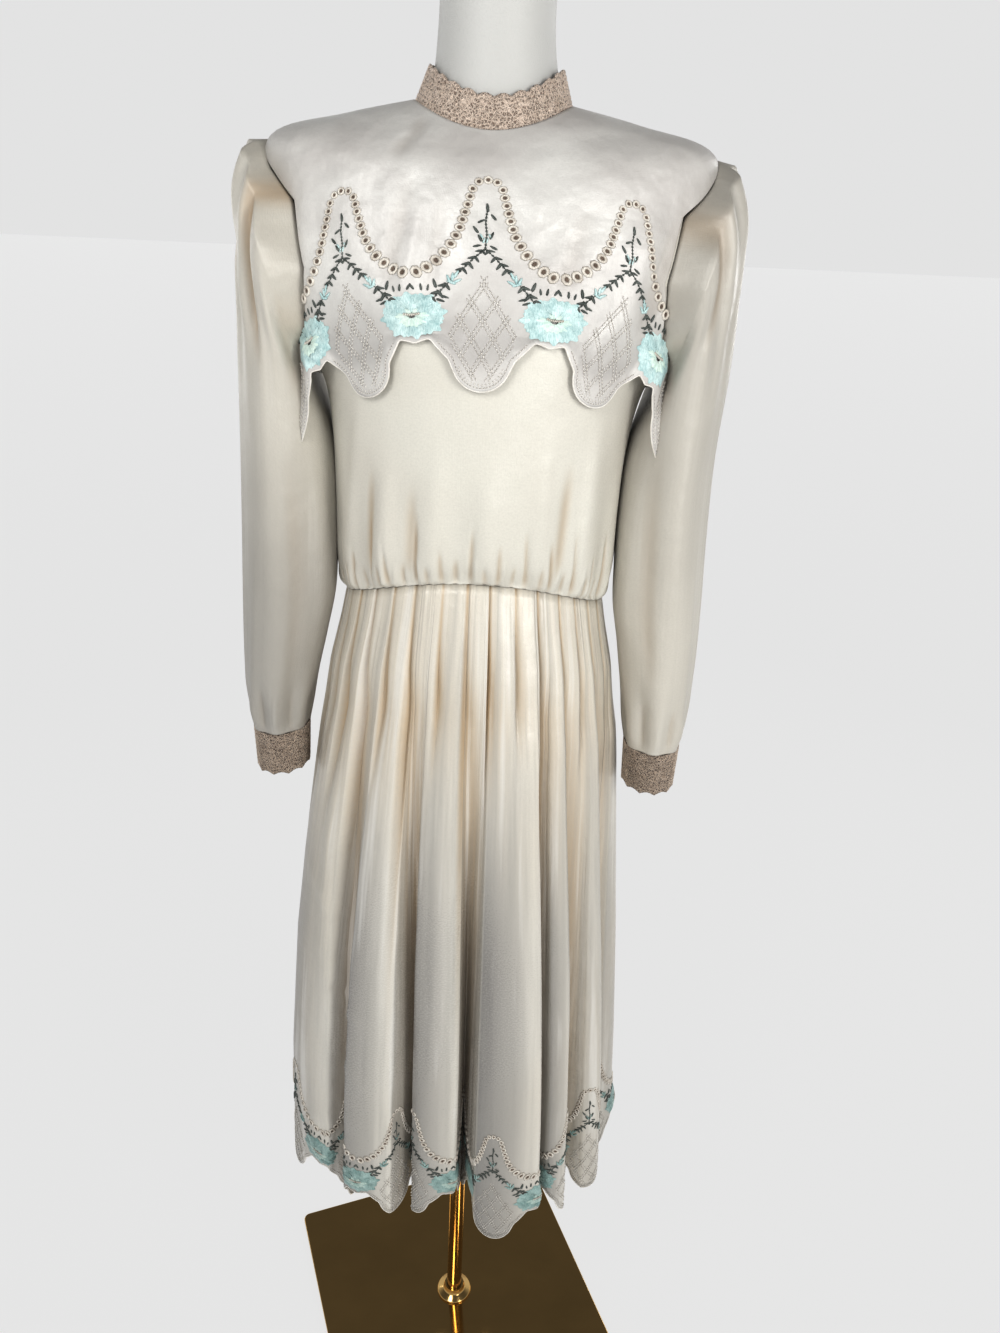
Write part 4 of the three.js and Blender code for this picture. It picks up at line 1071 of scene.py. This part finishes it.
def repeatWork(kinds, middle):
    m = motif
    row = [(0, 0, 2, 2)] + m["eyelets"]
    for k, (x, y, along, across) in enumerate(row):
        ahead, behind = row[min(k + 1, len(row) - 1)], row[max(k - 1, 0)]
        lean = math.degrees(math.atan2(ahead[1] - behind[1], ahead[0] - behind[0])) * (k > 0)
        for side in (-1, 1) if k else (1,):
            turn = mirrored(lean, side)
            place = middle + side * x, m["peak"] + y
            stamp(kinds["eyelet"], "ring", *place, along * 1.06, turn, 0.35, across / along)
            # painted shade: a dark disc in the middle of each eyelet
            stamp(kinds["holeShade"], "disc", *place, along * 0.6, turn, 0.35, across / along)
    for x, y, turn, long in sprigLeaves():
        stamp(kinds["leaf"], "leaf", middle + x, y, m["leafLong"] * long, turn, 0.3)
    stem = np.array([(0.4, 133), (-0.4, 124), (0.6, 115), (0, 105)])
    stitchesAlong(kinds["leaf"], stem, 2.4, 1.5, middle)
    for side in (-1, 1):
        vine = np.array([(0, 105), (6, 99), (13.2, 90.5), (19, 84), (27, 75), (33, 68)]) * (side, 1)
        stitchesAlong(kinds["leaf"], vine, 2.6, 1.5, middle)
        for x, y, turn in ((17.2, 86.5, 118), (19.6, 84.5, 95), (22, 83, 70), (20.4, 80.5, 20),
                           (16.8, 81.5, 150)):
            stamp(kinds["aqua"], "leaf", middle + side * x, y, 3.4, mirrored(turn, side), 0.4)
        for x, y, turn in ((-4.4, 114, 120), (1.6, 111, 75)):
            stamp(kinds["aqua"], "leaf", middle + side * x * 0.6, y, 2.2, turn, 0.35)
    flowerWork(kinds, middle + m["flower"][0], m["flower"][1])
    for side in (-1, 1):
        for k in range(-4, 5):
            for inset in (-1.5, 1.5):
                ys = np.linspace(m["fillUp"][0], m["fillUp"][-1], 120)
                xs = side * ((ys - 40) / m["strandSlope"] + m["strandStep"] * (k + 0.5)) + inset
                strand = np.stack([xs, ys], -1)[np.abs(xs) < np.interp(ys, m["fillUp"], m["fillWide"]) - 1]
                if len(strand) > 8:
                    stitchesAlong(kinds["white"], strand, 2.9, 1.1, middle, 0.35, 0, kinds["needleShade"])
    rim = lobeOutline(3.0)
    rim = rim[(np.abs(rim[:, 0]) < 33) & (rim[:, 1] < 38)]
    stitchesAlong(kinds["white"], rim, 2.6, 1.05, middle, 0.35, 0, kinds["needleShade"])
    low = lobeOutline(5.2)
    low = low[(np.abs(low[:, 0]) < 17) & (low[:, 1] < 22)]
    stitchesAlong(kinds["white"], low, 3.0, 1.1, middle, 0.3, 90)


def flowerWork(kinds, x, y):
    m = motif
    wide, tall = m["flowerWide"], m["flowerHigh"] / m["flowerWide"]
    outer = ((8, 1), (52, 0.98), (98, 0.92), (142, 1.0), (186, 0.98), (232, 0.98), (276, 0.94), (322, 1.0))
    for turn, size in outer:
        petal(kinds["aqua"], x, y, wide * size, turn, tall, 0.3)
    for turn, size in ((30, 0.66), (88, 0.6), (150, 0.66), (208, 0.64), (334, 0.62)):
        petal(kinds["aqua"], x, y, wide * size, turn, tall, 1.5)
    for turn, size in ((0, 0.5), (180, 0.5), (215, 0.5), (248, 0.5), (284, 0.5), (322, 0.5), (60, 0.36),
                       (120, 0.36)):
        petal(kinds["mint"], x, y - 0.6, wide * size, turn, tall * 0.9, 2.0)
    for k in range(-4, 5):  # the satin stitches of the heart
        stamp(kinds["eyelet"], "stitch", x + 1.3 * k, y + 0.2 + 0.05 * k * k, 1.5, 80 + 3 * k, 3.0)


def petal(bm, x, y, size, turn, tall, high):
    first = len(bm.verts)
    stamp(bm, "petal", 0, 0, size, turn, high, 0.86, 0.45)
    bm.verts.ensure_lookup_table()
    for w in bm.verts[first:]:
        w.co = (x + w.co.x, y + w.co.y * tall, w.co.z)


threadSlots = {"eyelet": "thread_white", "holeShade": "satin", "needleShade": "satin", "leaf": "thread_leaf",
               "aqua": "thread_aqua", "mint": "thread_aqua", "white": "thread_white"}


def embroidered(name, chart, middles, limits, scale=1.0, threads=None):
    kinds = {kind: bmesh.new() for kind in threadSlots}
    for middle in middles:
        repeatWork(kinds, middle)
    pieces = []
    for kind, bm in kinds.items():
        beyond = [f for f in bm.faces if not limits[0] < f.calc_center_median().x < limits[1]]
        bmesh.ops.delete(bm, geom=beyond, context="FACES")
        for w in bm.verts:
            w.co.x *= scale
        thread = (threads or {}).get(kind, kind)
        pieces.append(finished(f"{name}_{kind}", chart.lay(bm, f"{name}_{kind}"), thread))
    return pieces


def edgeCord(name, chart, start, end, lobes0, scale):
    # the rolled edge, a thin cord that follows the scallops
    radius = border["cord"]

    def surface(u, v):
        x = lerp(start, end, u)
        before, y, after = (scallopUp((x + off) / border["repeat"] - lobes0) for off in (-0.2, 0, 0.2))
        slope = (after - before) / 0.4
        way = unit(np.stack([-slope, np.ones_like(slope)], -1)) * (radius * np.cos(2 * np.pi * v))[..., None]
        high = border["cordLow"] + radius * np.sin(2 * np.pi * v)
        flat = np.stack([(x + way[..., 0]) * scale, y + way[..., 1], high], -1)
        return chart.at(flat.reshape(-1, 3))

    count = int((end - start) / 1.6)
    return finished(name, mappedGrid(name, count, 6, surface, joined=True), "white")


yokeLaid = yokeChart()
yokeThreads = embroidered("yoke", yokeLaid, [border["repeat"] * k for k in (-2, -1, 0, 1, 2)],
                          (-yoke["work"], yoke["work"]))
yokeRim = edgeCord("yoke_edge", yokeLaid, -yoke["cord"], yoke["cord"], 0, 1.0)
print("yoke embroidered")
hemLaid = hemChart()
hemScale = hemLength / hemLobes / border["repeat"]
hemStart = lobeStart * hemLobes  # repeats from the seam to the first lobe's middle
middles = [(hemStart % 1 + k) * border["repeat"] for k in range(hemLobes)]
hemThreads = embroidered("hem", hemLaid, middles, (1, hemLobes * border["repeat"] - 1), hemScale,
                         {"aqua": "shadedHemAqua", "mint": "shadedHemMint"})
hemRim = edgeCord("hem_edge", hemLaid, 1, hemLobes * border["repeat"] - 1, hemStart % 1, hemScale)
print("hem embroidered")


# Buttons, form and stand

buttons = {"count": 8, "radius": 0.0046, "flat": 0.36}


def buttonShapes(bm):
    for k in range(buttons["count"]):
        low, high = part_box(f"back_button_{k + 1}")
        cap = bmesh.ops.create_uvsphere(bm, u_segments=24, v_segments=12, radius=buttons["radius"])["verts"]
        spot = Matrix.Translation((low + high) / 2) @ Matrix.Diagonal((1, buttons["flat"], 1, 1))
        bmesh.ops.transform(bm, matrix=spot, verts=cap)


buttonMesh = meshFrom("covered_buttons", buttonShapes)
buttonMesh.uv_layers.new(name="flatCloth")
finished("covered_buttons", buttonMesh, "satin",
         [f"back_button_{k + 1}" for k in range(buttons["count"])])

form = {
    "zFront": [852, 856, 872, 930, 1010, 1084, 1160, 1250, 1300, 1350, 1392, 1416,
               1430, 1446, 1478, 1520, 1566, 1574, 1577],
    "zSide": [852, 856, 872, 925, 990, 1049, 1135, 1236, 1290, 1350, 1401, 1431,
              1451, 1466, 1489, 1524, 1566, 1574, 1577],
    "zBack": [852, 856, 872, 920, 975, 1038, 1125, 1228, 1290, 1350, 1398, 1428,
              1450, 1473, 1494, 1526, 1566, 1574, 1577],
    "left": [62, 112, 130, 136, 131, 126, 127, 137, 145, 150, 155, 150, 112, 62.5, 51, 47, 45, 40, 24],
    "right": [62, 110, 126, 130, 125, 120, 121, 132, 143, 149, 155, 150, 112, 62.5, 53, 48, 47, 42, 26],
    "front": [50, 88, 99, 101, 95, 88, 96, 109, 109, 102, 90, 78, 68, 62, 53, 49, 48, 43, 26],
    "back": [50, 84, 95, 97, 91, 86, 92, 101, 103, 99, 89, 77, 65, 54, 45, 43, 43, 38, 22],
}


def formPoint(share, v):
    # past its last rows the surface closes over the underside and the top of the neck
    t = np.clip(v, 0, 18)
    p = sectionPoint(form, 360 * share, t)
    closing = np.where(v < 0, 1 + v, np.where(v > 18, 19 - v, 1))[..., None]
    p[..., :2] *= closing
    p[..., 2] += np.where(v > 18, 0.5 * (v - 18), 0)
    return p


formMesh = mappedGrid("dress_form", 80, 120, formPoint, (0, 1), (-1, 19), joined=True)
finished("form_shell", formMesh, "form", ["dress_form"])

stand = {
    "side": 0.36, "thick": 0.006, "corner": 0.009, "rim": 0.0008, "turn": 21.1,
    # outlines of the turned pieces: radius and height
    "pole": [(0, 0.0063), (0.01, 0.0063), (0.01, 0.4), (0.01, 0.8512), (0.0094, 0.8517), (0, 0.8517)],
    "flange": [(0.0103, 0.0063), (0.0227, 0.0063), (0.023, 0.0068), (0.023, 0.0082), (0.0222, 0.0092),
               (0.0153, 0.0113), (0.0142, 0.0125), (0.0133, 0.0172), (0.0128, 0.0183), (0.0103, 0.0183),
               (0.0103, 0.0063)],
}


def plateShape(bm):
    side, thick = stand["side"], stand["thick"]
    bmesh.ops.create_cube(bm, size=1)
    bmesh.ops.scale(bm, verts=bm.verts, vec=(side, side, thick))
    bmesh.ops.translate(bm, verts=bm.verts, vec=(0, 0, thick / 2))
    upright = [e for e in bm.edges if abs(e.verts[0].co.z - e.verts[1].co.z) > thick / 2]
    bmesh.ops.bevel(bm, geom=upright, offset=stand["corner"], affect="EDGES", segments=10, profile=0.5,
                    material=-1)
    rims = [e for e in bm.edges if abs(e.verts[0].co.z - e.verts[1].co.z) < 1e-6]
    bmesh.ops.bevel(bm, geom=rims, offset=stand["rim"], affect="EDGES", segments=3, profile=0.5, material=-1)
    bmesh.ops.rotate(bm, verts=bm.verts, matrix=Matrix.Rotation(math.radians(stand["turn"]), 3, "Z"))


def turnedPiece(name, outline, node):
    bm = bmesh.new()
    points = [bm.verts.new((r, 0, z)) for r, z in outline]
    for a, b in zip(points, points[1:]):
        bm.edges.new((a, b))
    bmesh.ops.spin(bm, geom=bm.verts[:] + bm.edges[:], axis=(0, 0, 1), angle=2 * math.pi, steps=64,
                   use_merge=True)
    bmesh.ops.remove_doubles(bm, verts=bm.verts, dist=1e-7)
    bmesh.ops.recalc_face_normals(bm, faces=bm.faces)
    mesh = written(bm, name)
    finished(name, mesh, "pole", [node])
    mesh.set_sharp_from_angle(angle=math.radians(40))


finished("brass_plate", meshFrom("plate", plateShape), "plate", ["base_plate"])
turnedPiece("brass_pole", stand["pole"], "pole")
turnedPiece("brass_flange", stand["flange"], "pole_flange")
print("form and stand made")


# A pass over the cuffs, their loops and the sleeves, with nothing done

for net, loops, sleeve in zip(cuffs, shadedCuffLoops, sleeves.values()):
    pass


# Floor, light and camera

studio = {
    "pale": 0.828, "overhead": 0.2, "floorGlow": 0.801, "floor": 0.045, "gamma": 0.714,
    # each light: place, aim, size, power, colour
    "lights": {
        "keyLight": ((1.15, -1.45, 1.5), (0, 0, 1.0), (0.5, 1.0), 15, (1, 0.985, 0.96)),
        "topLight": ((-0.6, -1.3, 1.95), (0, 0, 1.15), (0.6, 0.6), 9, (1, 0.995, 0.98)),
        "backLight": ((1.5, 1.5, 1.5), (0, 0, 1.0), (0.7, 0.9), 7, (1, 1, 1)),
        "backFill": ((-1.6, 1.3, 1.3), (0, 0, 1.0), (0.7, 0.9), 4, (1, 1, 1)),
    },
}

floorMaterial = Finish("paleFloor", Emission_Strength=studio["floorGlow"])
floorMaterial.shader.inputs["Emission Color"].default_value = (1, 1, 1, 1)
floorGrain = floorMaterial.noise(floorMaterial.place((3, 3, 3), "Object"), detail=2)
floorMaterial.done(floorMaterial.mix(floorGrain, (studio["floor"],) * 3, (studio["floor"] * 1.02,) * 3), 0.95)
floor = linked("floor", meshFrom("floor", lambda bm: bmesh.ops.create_grid(
    bm, x_segments=4, y_segments=4, size=60)))
floor.data.materials.append(floorMaterial.material)


def softLight(name, place, aim, size, power, color):
    lamp = bpy.data.lights.new(name, "AREA")
    lamp.shape, lamp.size, lamp.size_y = "RECTANGLE", size[0], size[1]
    lamp.energy, lamp.color = power, color
    holder = linked(name, lamp)
    holder.location = place
    holder.rotation_euler = (Vector(aim) - Vector(place)).to_track_quat("-Z", "Y").to_euler()


for name, values in studio["lights"].items():
    softLight(name, *values)
world = bpy.data.worlds.new("studio")
world.use_nodes = True
air = world.node_tree
way = air.nodes.new("ShaderNodeTexCoord")
split = air.nodes.new("ShaderNodeSeparateXYZ")
sky = air.nodes.new("ShaderNodeValToRGB")
for stop, place, tone in zip(sky.color_ramp.elements, (0.3, 0.6), (studio["pale"], studio["overhead"])):
    stop.position, stop.color = place, (tone, tone, tone, 1)
air.links.new(way.outputs["Generated"], split.inputs[0])
air.links.new(split.outputs["Z"], sky.inputs[0])
air.links.new(sky.outputs[0], air.nodes["Background"].inputs[0])
bpy.context.scene.world = world
bpy.context.scene.view_settings.view_transform = "Standard"
bpy.context.scene.view_settings.gamma = studio["gamma"]

cameraFit = {"place": (0.0257, -0.95, 1.377), "down": 23.49, "roll": 2.56, "focal": 1005, "imageHigh": 1333,
             "sensor": 36}
lens = bpy.data.cameras.new("camera")
lens.sensor_fit = "VERTICAL"
lens.sensor_height = lens.sensor_width = cameraFit["sensor"]
lens.lens = cameraFit["sensor"] * cameraFit["focal"] / cameraFit["imageHigh"]
lens.clip_start, lens.clip_end = 0.05, 100
camera = linked("camera", lens)
camera.rotation_mode = "ZYX"
camera.location = cameraFit["place"]
camera.rotation_euler = (math.radians(90 - cameraFit["down"]), 0, math.radians(cameraFit["roll"]))
bpy.context.scene.camera = camera
print("scene lit")
